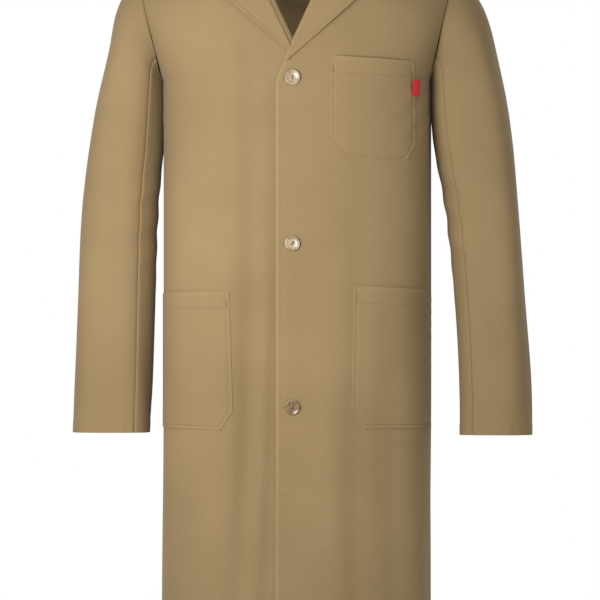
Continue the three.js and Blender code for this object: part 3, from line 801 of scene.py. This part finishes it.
def back_surface(side):
    def surface(u, v):
        share = u if side == "left" else 1 - u
        angle, z = back_grid(share, v)
        lift = seam_tuck(share) + seam_tuck(1 - share) + hem_fold(z, HEM_Z, HEM_HEIGHT)
        return lapped(on_body(SIGN[side] * angle, z, lift), v, -1)
    return surface


def add_back():
    for side in SIGN:
        obj = cloth(f"back_{side}_cloth", back_surface(side), (0.27, 1.1), (84, 210), KHAKI)
        declare(obj, [f"back_{side}"])
        ride_body(obj)


# ---- Sleeves ----

SLEEVE_TILT = 0.031
FOREARM_FORWARD = 0.010
SLEEVE_HEAD_PULL = np.array([0.011, 0, 0.027])
CUFF_HEM = 0.018


def sleeve_tilt(z):
    return SLEEVE_TILT * np.clip((z - ELBOW_Z) / (SLEEVE_TOP_Z - ELBOW_Z), 0, 1)


def rounded_square(value):
    return np.sign(value) * np.abs(value) ** SLEEVE_ROUNDNESS


def sleeve_base(side, angle, level):
    z = level + sleeve_tilt(level) * np.sin(angle)
    inner, outer, deep = (smooth_curve(z, SLEEVES[side], k) for k in (1, 2, 3))
    forward = FOREARM_FORWARD * np.clip((ELBOW_Z - z) / 0.3, 0, 1)
    x = (inner + outer) / 2 + (outer - inner) / 2 * rounded_square(np.sin(angle))
    return np.stack([x, -deep * rounded_square(np.cos(angle)) - forward, z], axis=-1)


def sleeve_head(side, angle, v):
    """From the sleeve's top ring, v 0, over the shoulder to the armhole seam, v 1."""
    foot = sleeve_base(side, angle, np.full_like(angle, SLEEVE_TOP_Z))
    middle_z = (TIP_Z + ARMPIT_Z) / 2
    z = middle_z + (TIP_Z - middle_z) * np.sin(angle)
    x = armhole_x(z)
    depth = section_depth(x, z) * shoulder_round(x, z)
    ring = np.stack([x, -np.sign(np.cos(angle)) * depth, z], axis=-1)
    outward = ((1 + np.sin(angle)) / 2)[..., None]
    handle = (foot + ring) / 2 + outward * SLEEVE_HEAD_PULL
    t = v[..., None]
    return (1 - t) ** 2 * foot + 2 * t * (1 - t) * handle + t**2 * ring


def sleeve_folds(side, angle, z):
    """Long soft folds down the sleeve, with shallow creases across the inside of the elbow."""
    phase = 0.7 if side == "left" else 2.1
    down = 0.0016 * np.sin(3 * angle + phase + 1.1 * np.sin(4.2 * z))
    down = down + 0.0009 * np.sin(5 * angle - phase + 1.8 * np.sin(6.5 * z + 1))
    elbow = bell(z, ELBOW_Z + 0.01, 0.075)
    crease = 0.0013 * np.sin(2 * math.pi * (z + 0.018 * np.sin(angle + phase)) / 0.047) * elbow
    inside = bell(np.mod(angle + 0.9 + math.pi, 2 * math.pi) - math.pi, 0, 1.1)
    cuff = smoothstep(z, -0.72, -0.66)
    top = 1 - smoothstep(z, -0.20, -0.12)
    return (down * (0.4 + 0.6 * cuff) + crease * inside) * top


GRID_SMOOTHING = 10


def smooth_rows(points):
    for _ in range(GRID_SMOOTHING):
        points[1:-1] = 0.25 * points[:-2] + 0.5 * points[1:-1] + 0.25 * points[2:]
    return points


def sleeve_part(side, from_angle, to_angle, upper, top_z=SLEEVE_SPLIT_Z, bottom_z=None, lift=0.0):
    """Surface of one sleeve piece; u runs between the two seams, v from its foot to its top."""
    cuff_z = SLEEVES[side][-1][0]
    foot = cuff_z if bottom_z is None else bottom_z

    def surface(u, v):
        share = u if side == "left" else 1 - u
        angle = lerp(from_angle, to_angle, share)
        if upper:
            low_part = sleeve_base(side, angle, lerp(SLEEVE_SPLIT_Z, SLEEVE_TOP_Z, np.minimum(v / 0.5, 1)))
            head = sleeve_head(side, angle, np.clip((v - 0.5) / 0.5, 0, 1))
            points = smooth_rows(np.where((v <= 0.5)[..., None], low_part, head))
        else:
            points = sleeve_base(side, angle, lerp(foot, top_z, v))
        along = np.gradient(points, axis=1) * SIGN[side]
        normal = unit(np.cross(unit(along), unit(np.gradient(points, axis=0))))
        z = points[..., 2]
        seam = -0.0010 * (bell(share, 0, 0.012) + bell(share, 1, 0.012)) if lift == 0 else 0
        near_cuff = smoothstep(-z, -cuff_z - 0.03, -cuff_z)
        ripple = 0.0006 * np.sin(angle * 22 + 1) * near_cuff * bell(share, 0, 0.3)
        armhole = -0.0008 * smoothstep(v, 0.985, 1.0) if upper else 0
        cuff = hem_fold(z, cuff_z, CUFF_HEM, 0.0014)
        height = lift + seam + cuff + ripple + armhole + sleeve_folds(side, angle, z)
        points = points + normal * height[..., None]
        return points if side == "left" else mirrored(points)
    return surface


def armpit_blend(obj, side):
    """Bakes the sleeve piece's transform into its mesh."""
    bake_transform(obj)


def elbow_blend(obj, side):
    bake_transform(obj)


def add_sleeves():
    turn = 2 * math.pi
    pieces = (("topsleeve", FOREARM_SEAM, HINDARM_SEAM, 0.24, 84),
              ("undersleeve", HINDARM_SEAM, FOREARM_SEAM + turn, 0.12, 40))
    for side in SIGN:
        for name, start, end, width, columns in pieces:
            nodes = [f"{side}_upper_{name}"] + ([f"{side}_sleeve_head"] if name == "topsleeve" else [])
            upper = cloth(f"{side}_upper_{name}_cloth", sleeve_part(side, start, end, True), (width, 0.25),
                          (columns, 72), KHAKI, rounded=(True, True, False, True))
            declare(upper, nodes)
            armpit_blend(upper, side)
            lower = cloth(f"{side}_lower_{name}_cloth", sleeve_part(side, start, end, False), (width, 0.4),
                          (columns, 120), KHAKI, rounded=(True, True, True, False))
            declare(lower, [f"{side}_lower_{name}"])
            elbow_blend(lower, side)
        cuff_z = SLEEVES[side][-1][0]
        inside = sleeve_part(side, HINDARM_SEAM + 0.02, HINDARM_SEAM + turn - 0.02, False,
                             cuff_z + CUFF_HEM, cuff_z + 0.0008, lift=-LAYER)
        hem = cloth(f"{side}_cuff_hem_cloth", inside, (0.3, CUFF_HEM), (110, 6), KHAKI_UNDER)
        declare(hem, [f"{side}_cuff_hem"])
        elbow_blend(hem, side)


# ---- Lapels and collar ----

GORGE = (0.063, -0.040)
LAPEL_POINT = (0.125, -0.080)
LAPEL_CURVE = (0.0495, -0.150)


def lapel_surface(side, start):
    """From the roll line, out to the lapel's edge; start is the share of its length left off below."""
    def surface(u, v):
        across = u if side == "left" else 1 - u
        share = lerp(start, 1, v)
        inner_x, inner_z = lerp(BREAK_X, GORGE[0], share), lerp(BREAK_Z, GORGE[1], share)
        a, b, c = (1 - share) ** 2, 2 * share * (1 - share), share**2
        outer_x = a * BREAK_X + b * LAPEL_CURVE[0] + c * LAPEL_POINT[0]
        outer_z = a * BREAK_Z + b * LAPEL_CURVE[1] + c * LAPEL_POINT[1]
        width = np.hypot(outer_x - inner_x, outer_z - inner_z)
        turned = np.clip(across * width / 0.006, 0, 1)
        x = lerp(inner_x, outer_x, across) - 0.0032 * (1 - turned) ** 2
        notch = 0.008 * np.sin(math.pi * np.minimum(1, across / 0.9)) * v**10
        z = lerp(inner_z, outer_z, across) - notch
        stand = lerp(-0.0024, 0.0034, smoothstep(turned, 0, 1))
        stand = stand + 0.0026 * across**2 * smoothstep(share, 0.1, 0.7)
        stand = stand + 0.0006 * np.sin(9 * share + 2) * across
        stitched = -GROOVE * bell((1 - across) * width, 0.006, 0.0015)
        return on_body(SIGN[side] * angle_at_x(x, z), z, stand + stitched + sink(side, x, z))
    return surface


def spline(before, start, end, after, f):
    """Point at share f from start to end, on the smooth curve through all four."""
    return 0.5 * (2 * start + (end - before) * f + (2 * before - 5 * start + 4 * end - after) * f**2
                  + (3 * start - before - 3 * end + after) * f**3)


def catmull(points, t):
    """Point at t, from 0 to 1, on a smooth curve through an array of points."""
    points = np.asarray(points, float)
    count = len(points) - 1
    s = np.clip(t, 0, 1) * count
    i = np.minimum(s.astype(int), count - 1)
    padded = np.concatenate([[2 * points[0] - points[1]], points, [2 * points[-1] - points[-2]]])
    return spline(*(padded[i + k] for k in range(4)), (s - i)[..., None])


def front_place(x, z, lift):
    return (x, float(-section_depth(x, z) * shoulder_round(x, z) - lift), z)


def collar_line(half):
    """The whole line from the wearer's left end round the back to the right end."""
    half = np.array(half)
    return np.concatenate([half[::-1], half[1:] * np.array([-1, 1, 1])])


def loft(lines):
    """A surface through several lines: u runs along them and v from the first to the last."""
    def surface(u, v):
        a = np.stack([catmull(line, u) for line in lines])
        count = len(lines) - 1
        s = np.clip(v, 0, 1) * count
        i = np.minimum(s.astype(int), count - 1)
        rows, columns = np.indices(u.shape)
        first, second = a[i, rows, columns], a[i + 1, rows, columns]
        before = a[np.maximum(i - 1, 0), rows, columns]
        before = np.where((i == 0)[..., None], 2 * first - second, before)
        after = a[np.minimum(i + 2, count), rows, columns]
        after = np.where((i + 2 > count)[..., None], 2 * second - first, after)
        return spline(before, first, second, after, (s - i)[..., None])
    return surface


def add_collar():
    leaf_edge = collar_line([
        (0, 0.108, -0.022), (0.046, 0.100, -0.026), (0.086, 0.074, -0.033), (0.112, 0.012, -0.021),
        front_place(0.119, -0.038, 0.009), front_place(0.112, -0.047, 0.008)])
    leaf_middle = collar_line([
        (0, 0.098, 0.004), (0.041, 0.088, 0.002), (0.074, 0.062, -0.006), (0.096, 0.006, -0.006),
        front_place(0.097, -0.038, 0.011), front_place(0.098, -0.066, 0.008)])
    leaf_fold = collar_line([
        (0, 0.079, 0.0255), (0.032, 0.071, 0.0235), (0.060, 0.045, 0.0185), (0.077, 0.004, 0.009),
        front_place(0.076, -0.021, 0.009), front_place(0.068, -0.038, 0.009)])
    leaf = cloth("collar_leaf_cloth", loft([leaf_edge, leaf_middle, leaf_fold]), (0.5, 0.055), (150, 26),
                 KHAKI, thickness=0.0020)
    declare(leaf, ["collar_leaf"])
    ride_body(leaf)
    stand_seam = collar_line([
        (0, 0.0735, 0.001), (0.030, 0.061, 0.000), (0.055, 0.038, -0.005), (0.0735, 0.001, -0.012),
        (0.071, -0.030, -0.026)])
    stand_top = collar_line([
        (0, 0.0765, 0.0250), (0.031, 0.0685, 0.0230), (0.058, 0.044, 0.0180), (0.0745, 0.004, 0.0085),
        (0.072, -0.030, -0.010)])
    stand = cloth("collar_stand_cloth", loft([stand_seam, stand_top]), (0.3, 0.025), (110, 12), KHAKI_UNDER,
                  thickness=0.0018)
    declare(stand, ["collar_stand"])
    ride_body(stand)
    for side, start in (("left", 0.03), ("right", 0.04)):
        lapel = cloth(f"{side}_lapel_cloth", lapel_surface(side, start), (0.07, 0.17), (44, 90), KHAKI,
                      thickness=0.0019)
        declare(lapel, [f"{side}_lapel"])
        ride_body(lapel)


# ---- Pockets ----

# near and far: distance of each side from the centre at the mouth and the foot; a pocket with no far side
# is caught in the side seam. mouth and foot: height at the inner and outer end. size: width
# along the cloth, and height.
POCKETS = {
    "chest_pocket": {"side": "left", "near": (0.0545, 0.0545), "far": (0.171, 0.173),
                     "mouth": (-0.1915, -0.199), "foot": (-0.336, -0.3405), "chamfer": (0.020, 0.024),
                     "size": (0.118, 0.145)},
    "left_lower_pocket": {"side": "left", "near": (0.0865, 0.083), "far": None, "mouth": (-0.5195, -0.527),
                          "foot": (-0.7225, -0.7225), "chamfer": (0.018, 0.027), "size": (0.140, 0.203)},
    "right_lower_pocket": {"side": "right", "near": (0.090, 0.0835), "far": None, "mouth": (-0.5275, -0.530),
                           "foot": (-0.7245, -0.7205), "chamfer": (0.018, 0.027), "size": (0.140, 0.197)},
}
POCKET_HEM = 0.024
POCKET_STAND = 0.0012
POCKET_HEM_UNDER = 0.0021
STITCH_INSET = 0.035
STITCH_FOOT = 0.028


def pocket_place(name, across, up):
    """Angle and height on a pocket, across from its inner to its outer side, and up from foot to mouth."""
    pocket = POCKETS[name]
    z = lerp(lerp(*pocket["foot"], across), lerp(*pocket["mouth"], across), up)
    rise = z - lerp(*pocket["foot"], across)
    wide, tall = pocket["chamfer"]
    cut = wide * np.clip(1 - rise / tall, 0, 1)
    near = angle_at_x(lerp(pocket["near"][1], pocket["near"][0], up) + cut, z)
    if pocket["far"]:
        far = angle_at_x(lerp(pocket["far"][1], pocket["far"][0], up) - cut * 0.6, z)
    else:
        far = side_angle(z) - 0.02
    return SIGN[pocket["side"]] * lerp(near, far, across), z


def pocket_height(name, across, up):
    """How far a pocket's outer face stands off the front: flat edges, a little slack and a loose mouth."""
    width, height = POCKETS[name]["size"]
    side = np.minimum(across, 1 - across) * width
    edge = np.minimum(side, up * height)
    flat = 1 if POCKETS[name]["far"] else 1 - smoothstep(across, 0.35, 0.75)
    slack = 0.0022 * smoothstep(edge, 0, 0.035) * (0.4 + 0.6 * up) * flat
    mouth = 0.0016 * smoothstep(up, 0.75, 1.0) * np.sin(math.pi * across) * flat
    groove = -0.0009 * bell(edge, 0.0045, 0.0012)
    ripple = 0.00022 * pucker(across * width + up * height, 0.019) * bell(edge, 0.004, 0.006)
    return POCKET_STAND + slack + mouth + groove + ripple


def pocket_points(name, across, up, lift):
    side = POCKETS[name]["side"]
    angle, z = pocket_place(name, across, up)
    x = body_base(angle, z)[..., 0] * SIGN[side]
    return on_body(angle, z, pocket_height(name, across, up) + sink(side, x, z) + lift)


def pocket_surface(name, low_up=0.0, high_up=1.0, lift=0.0):
    def surface(u, v):
        across = u if POCKETS[name]["side"] == "left" else 1 - u
        return pocket_points(name, across, lerp(low_up, high_up, v), lift)
    return surface


def pocket_path(name, points):
    across, up = (np.array(values) for values in zip(*points))
    angle, z = pocket_place(name, across, up)
    return pocket_points(name, across, up, STITCH_LIFT), body_normal(angle, z)


def dense(points, count):
    """Points evenly spaced along a bent line."""
    corners = np.array(points, float)
    lengths = np.concatenate([[0], np.cumsum(np.linalg.norm(np.diff(corners, axis=0), axis=1))])
    at = np.linspace(0, 1, count) * lengths[-1]
    return list(zip(*(np.interp(at, lengths, corners[:, k]) for k in (0, 1))))


def add_pockets():
    for name, pocket in POCKETS.items():
        width, height = pocket["size"]
        # The pocket gets a painted highlight along its sides and its mouth.
        bag = cloth(f"{name}_cloth", pocket_surface(name), (width, height), (70, 110), KHAKI,
                    edge_highlight=(0.25, 0.25, 0, 0.35))
        declare(bag, [name])
        ride_body(bag)
        hem_up = 1 - POCKET_HEM / height
        band = cloth(f"{name}_hem_cloth", pocket_surface(name, hem_up, 0.9985, -POCKET_HEM_UNDER),
                     (width, POCKET_HEM), (60, 12), KHAKI_UNDER)
        declare(band, [])
        ride_body(band)
        near, far, top = STITCH_INSET, 1 - STITCH_INSET, 0.995
        # The pocket stitches and bartacks use the darker thread, which paints the shade in their grooves.
        sides = dense([(near, top), (near, STITCH_FOOT), (far, STITCH_FOOT), (far, top)], 300)
        hem = dense([(0.02, hem_up), (0.98, hem_up)], 80)
        for label, path in (("side", sides), ("hem", hem)):
            ride_body(stitches(f"{name}_{label}_stitches", *pocket_path(name, path), GROOVE_SHADE_THREAD))
        for label, end in (("near", 0.03), ("far", 0.97)):
            bar = dense([(end, hem_up + 0.005), (end, hem_up + 0.06)], 20)
            ride_body(stitches(f"{name}_bartack_{label}", *pocket_path(name, bar), GROOVE_SHADE_THREAD,
                               pitch=0.0007, length=0.0011, radius=0.0007))


TAB_INNER_X, TAB_WIDTH, TAB_SLANT, TAB_LIFT = 0.1655, 0.0098, 0.0022, 0.0052


def add_tab():
    """A blank folded ribbon sewn into the chest pocket's outer seam."""
    bottom, top = low("pocket_tab", 2), high("pocket_tab", 2)

    def surface(u, v):
        z = lerp(bottom, top, v) - 0.0008 * u
        x = TAB_INNER_X + TAB_WIDTH * u + TAB_SLANT * v
        angle = angle_at_x(x, z)
        bulge = 0.0010 * np.sin(math.pi * u) - 0.0006 * np.sin(math.pi * v)
        return off_body(angle, z, TAB_LIFT + bulge)
    ribbon = cloth("pocket_tab_ribbon", surface, (TAB_WIDTH, top - bottom), (16, 30), RED, thickness=0.0013)
    declare(ribbon, ["pocket_tab"])
    ride_body(ribbon)
    share = np.linspace(0.05, 0.95, 24)
    z = lerp(bottom, top, share)
    x = TAB_INNER_X + 0.0014 + TAB_SLANT * share
    angle = angle_at_x(x, z)
    ride_body(stitches("pocket_tab_stitches", off_body(angle, z, TAB_LIFT + 0.0003), body_normal(angle, z),
                       THREAD, pitch=0.0026, length=0.0018))


# ---- Seam stitching ----

def placket_stitches(side, name):
    z = np.linspace(HEM_Z + 0.002, BREAK_Z - 0.012, 500)
    x = front_edge_x(z) + 0.008
    angle = SIGN[side] * angle_at_x(x, z)
    path = on_body(angle, z, front_lift(x, z) + sink(side, x, z) + STITCH_LIFT)
    skirt_blend(stitches(name, path, body_normal(angle, z), THREAD), side)


def hem_stitches(side):
    hem_z = HEM_Z + HEM_HEIGHT
    start = float(angle_at_x(-OVERLAP + 0.002, hem_z))
    angles = SIGN[side] * np.linspace(start, math.pi / 2 - 0.01, 200)
    z = np.full_like(angles, hem_z)
    x = body_base(angles, z)[..., 0] * SIGN[side]
    path = on_body(angles, z, front_lift(x, z) + sink(side, x, z) + STITCH_LIFT)
    skirt_blend(stitches(f"{side}_front_hem_stitches", path, body_normal(angles, z), THREAD), side)
    angles = SIGN[side] * np.linspace(math.pi / 2 + 0.01, math.pi - 0.004, 200)
    ride_body(stitches(f"back_{side}_hem_stitches", on_body(angles, z), body_normal(angles, z), THREAD))


def lapel_stitches(side, start):
    v = np.linspace(0, 0.985, 120)[:, None]
    u = np.full_like(v, 0.90 if side == "left" else 1 - 0.90)
    path = lapel_surface(side, start)(u, v)[:, 0, :]
    normal = body_normal(angle_at_x(path[:, 0], path[:, 2]), path[:, 2])
    ride_body(stitches(f"{side}_lapel_stitches", path + normal * 0.0003, normal, THREAD))


def cuff_stitches(side):
    """Taken from the middle row of a narrow band of sleeve, so that the surface's folds are kept."""
    z = SLEEVES[side][-1][0] + CUFF_HEM
    band = sleeve_part(side, FOREARM_SEAM, FOREARM_SEAM + 2 * math.pi, False, z + 0.004, z - 0.004)
    u, v = np.meshgrid(np.linspace(0, 1, 160), np.linspace(0, 1, 9))
    path = band(u, v)[4]
    inner, outer = (float(smooth_curve(np.array(z), SLEEVES[side], k)) for k in (1, 2))
    middle = np.array([SIGN[side] * (inner + outer) / 2, -FOREARM_FORWARD, z])
    normal = unit(path - middle)
    elbow_blend(stitches(f"{side}_cuff_stitches", path + normal * 0.0003, normal, THREAD), side)


def add_seam_stitches():
    placket_stitches("left", "placket_stitches")
    placket_stitches("right", "under_placket_stitches")
    for side in SIGN:
        hem_stitches(side)
    for side, start in (("left", 0.08), ("right", 0.24)):
        lapel_stitches(side, start)
    for side in SIGN:
        cuff_stitches(side)


# ---- Label and hanger loop ----

def add_label():
    lo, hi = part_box("neck_label")

    def surface(u, v):
        x = lerp(hi[0], lo[0], u)
        z = lerp(lo[2], hi[2], v)
        angle = math.pi - angle_at_x(x, z)
        return off_body(angle, z, -0.0026)
    label = cloth("neck_label_ribbon", surface, (0.056, 0.026), (30, 14), LABEL, thickness=0.0006)
    declare(label, ["neck_label"])
    ride_body(label)


def add_hanger_loop():
    hinge = JOINTS["hanger_loop_flip"]["pos_m"]
    half, drop = high("hanger_loop", 0) - 0.002, hinge[2] - low("hanger_loop", 2) - 0.003
    t = np.linspace(-1, 1, 60)
    path = np.stack([half * t, np.full_like(t, hinge[1]), hinge[2] - drop * (1 - np.abs(t) ** 2.6)], axis=-1)
    loop = tube("hanger_loop_cord", path, 0.0024, KHAKI_UNDER, sides=12, flat=0.42, up=(0, 1, 0))
    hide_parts("hanger_loop")
    ride_body(loop, "hanger_loop")


# ---- Buttons ----

BUTTONS = {"top": 0.0, "middle": 0.7, "bottom": 0.35}
RIM = 0.0030
# Outline of a button from the middle of its back to the middle of its front: share of its radius, and height.
BUTTON_PROFILE = (
    (0, 0.0), (0.86, 0.0), (0.97, 0.0005), (1, 0.0013), (0.985, RIM - 0.0006), (0.93, RIM),
    (0.84, RIM - 0.0001), (0.74, RIM - 0.0008), (0.62, RIM - 0.0013), (0.3, RIM - 0.0014), (0, RIM - 0.0014),
)
HOLE_RADIUS, HOLE_OFFSET = 0.00115, 0.0022
HOLE_PROFILE = ((0, -0.002), (HOLE_RADIUS, -0.002), (HOLE_RADIUS, 0.006), (0, 0.006))
STRAND_RADIUS, STRAND_PITCH, SHANK_RADIUS = 0.00036, 0.00045, 0.0012
BUTTON_TIP = 0.10


def revolve(profile, sides):
    turn = np.linspace(0, 2 * math.pi, sides, endpoint=False)
    rings = [[(r * math.cos(a), -h, r * math.sin(a)) for a in turn] for r, h in profile[1:-1]]
    vertices = [(0, -profile[0][1], 0)] + [p for ring in rings for p in ring] + [(0, -profile[-1][1], 0)]
    faces = []
    for k in range(sides):
        faces.append((0, 1 + k, 1 + (k + 1) % sides))
    for ring in range(len(rings) - 1):
        for k in range(sides):
            a, b = 1 + ring * sides + k, 1 + ring * sides + (k + 1) % sides
            faces.append((a, a + sides, b + sides, b))
    last, end = 1 + (len(rings) - 1) * sides, len(vertices) - 1
    for k in range(sides):
        faces.append((end, last + (k + 1) % sides, last + k))
    return vertices, faces


def drill_holes(disc, material):
    """Cuts the two holes through a button."""
    for offset in (HOLE_OFFSET, -HOLE_OFFSET):
        vertices, faces = revolve(HOLE_PROFILE, 24)
        drill = new_object("drill", [(x, y, z + offset) for x, y, z in vertices], faces, material)
        fix_normals(drill)
        cut = disc.modifiers.new("hole", "BOOLEAN")
        cut.operation = "DIFFERENCE"
        cut.object = drill
        evaluated = disc.evaluated_get(bpy.context.evaluated_depsgraph_get())
        mesh = bpy.data.meshes.new_from_object(evaluated)
        disc.modifiers.clear()
        disc.data = mesh
        bpy.data.objects.remove(drill)
    disc.data.shade_smooth()
    disc.data.set_sharp_from_angle(angle=0.9)


def sewing_thread(name):
    """Three strands from hole to hole, and the shank behind the button."""
    strands = []
    for k in (-1, 0, 1):
        t = np.linspace(0, 1, 14)
        y = -(RIM - 0.0016) - 0.0009 * np.sin(math.pi * t)
        path = np.stack([np.full_like(t, STRAND_PITCH * k), y, lerp(-0.0024, 0.0024, t)], axis=-1)
        strands.append(tube("strand", path, STRAND_RADIUS, BUTTON_THREAD, sides=8, up=(0, 1, 0)))
    shank = np.stack([np.zeros(8), np.linspace(-0.0006, 0.0040, 8), np.zeros(8)], axis=-1)
    strands.append(tube("strand", shank, SHANK_RADIUS, BUTTON_THREAD, sides=12, up=(0, 0, 1)))
    return join(f"{name}_button_sewing", strands)


def add_buttons():
    for name, turn in BUTTONS.items():
        node = f"{name}_button"
        lo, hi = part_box(node)
        radius = (hi[0] - lo[0]) / 2
        material = PEARL_BROWN if name == "bottom" else PEARL
        vertices, faces = revolve([(radius * share, height) for share, height in BUTTON_PROFILE], 64)
        disc = new_object(f"{name}_button_pearl", vertices, faces, material, sharp=0.9)
        fix_normals(disc)
        drill_holes(disc, material)
        for obj, stands_for, slot in ((disc, node, "pearl_button"),
                                      (sewing_thread(name), f"{name}_button_thread", "sewing_thread")):
            place(obj, turn, (0, hi[1], (lo[2] + hi[2]) / 2), BUTTON_TIP if name == "bottom" else 0)
            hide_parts(stands_for)
            ride_body(obj, node)


def place(obj, turn, where, tip):
    """Turns a button piece about its axis, tips it, and moves it into place."""
    turned = Matrix.Rotation(tip, 4, "X") @ Matrix.Rotation(turn, 4, "Y")
    obj.data.transform(Matrix.Translation(where) @ turned)
    obj.data.update()


def join(name, objects):
    vertices, faces = [], []
    for obj in objects:
        start = len(vertices)
        vertices.extend(tuple(v.co) for v in obj.data.vertices)
        faces.extend(tuple(start + i for i in p.vertices) for p in obj.data.polygons)
        material = obj.data.materials[0]
        bpy.data.objects.remove(obj)
    return new_object(name, vertices, faces, material, sharp=1.0)


def add_buttonholes():
    """Dense stitching round each slit, level across the front and half under its button."""
    for name in BUTTONS:
        t = np.linspace(0, 2 * math.pi, 160)
        x = 0.0128 * np.clip(1.15 * np.cos(t), -1, 1)
        z = centre(f"{name}_button")[2] + 0.0014 * np.clip(1.6 * np.sin(t), -1, 1)
        path, normal = at_x(x, z, 0.0004), body_normal(angle_at_x(x, z), z)
        ride_body(stitches(f"{name}_buttonhole", path, normal, THREAD,
                           pitch=0.0006, length=0.0012, radius=0.0006))


add_camera()
add_lights()
add_world()
add_floor()
add_back()
add_fronts()
add_sleeves()
add_collar()
add_pockets()
add_tab()
add_seam_stitches()
add_label()
add_hanger_loop()
add_buttons()
add_buttonholes()

boxes = {"cad": cad_box, "visual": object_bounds()}
{key: [list(map(float, corner)) for corner in box] for key, box in boxes.items()}
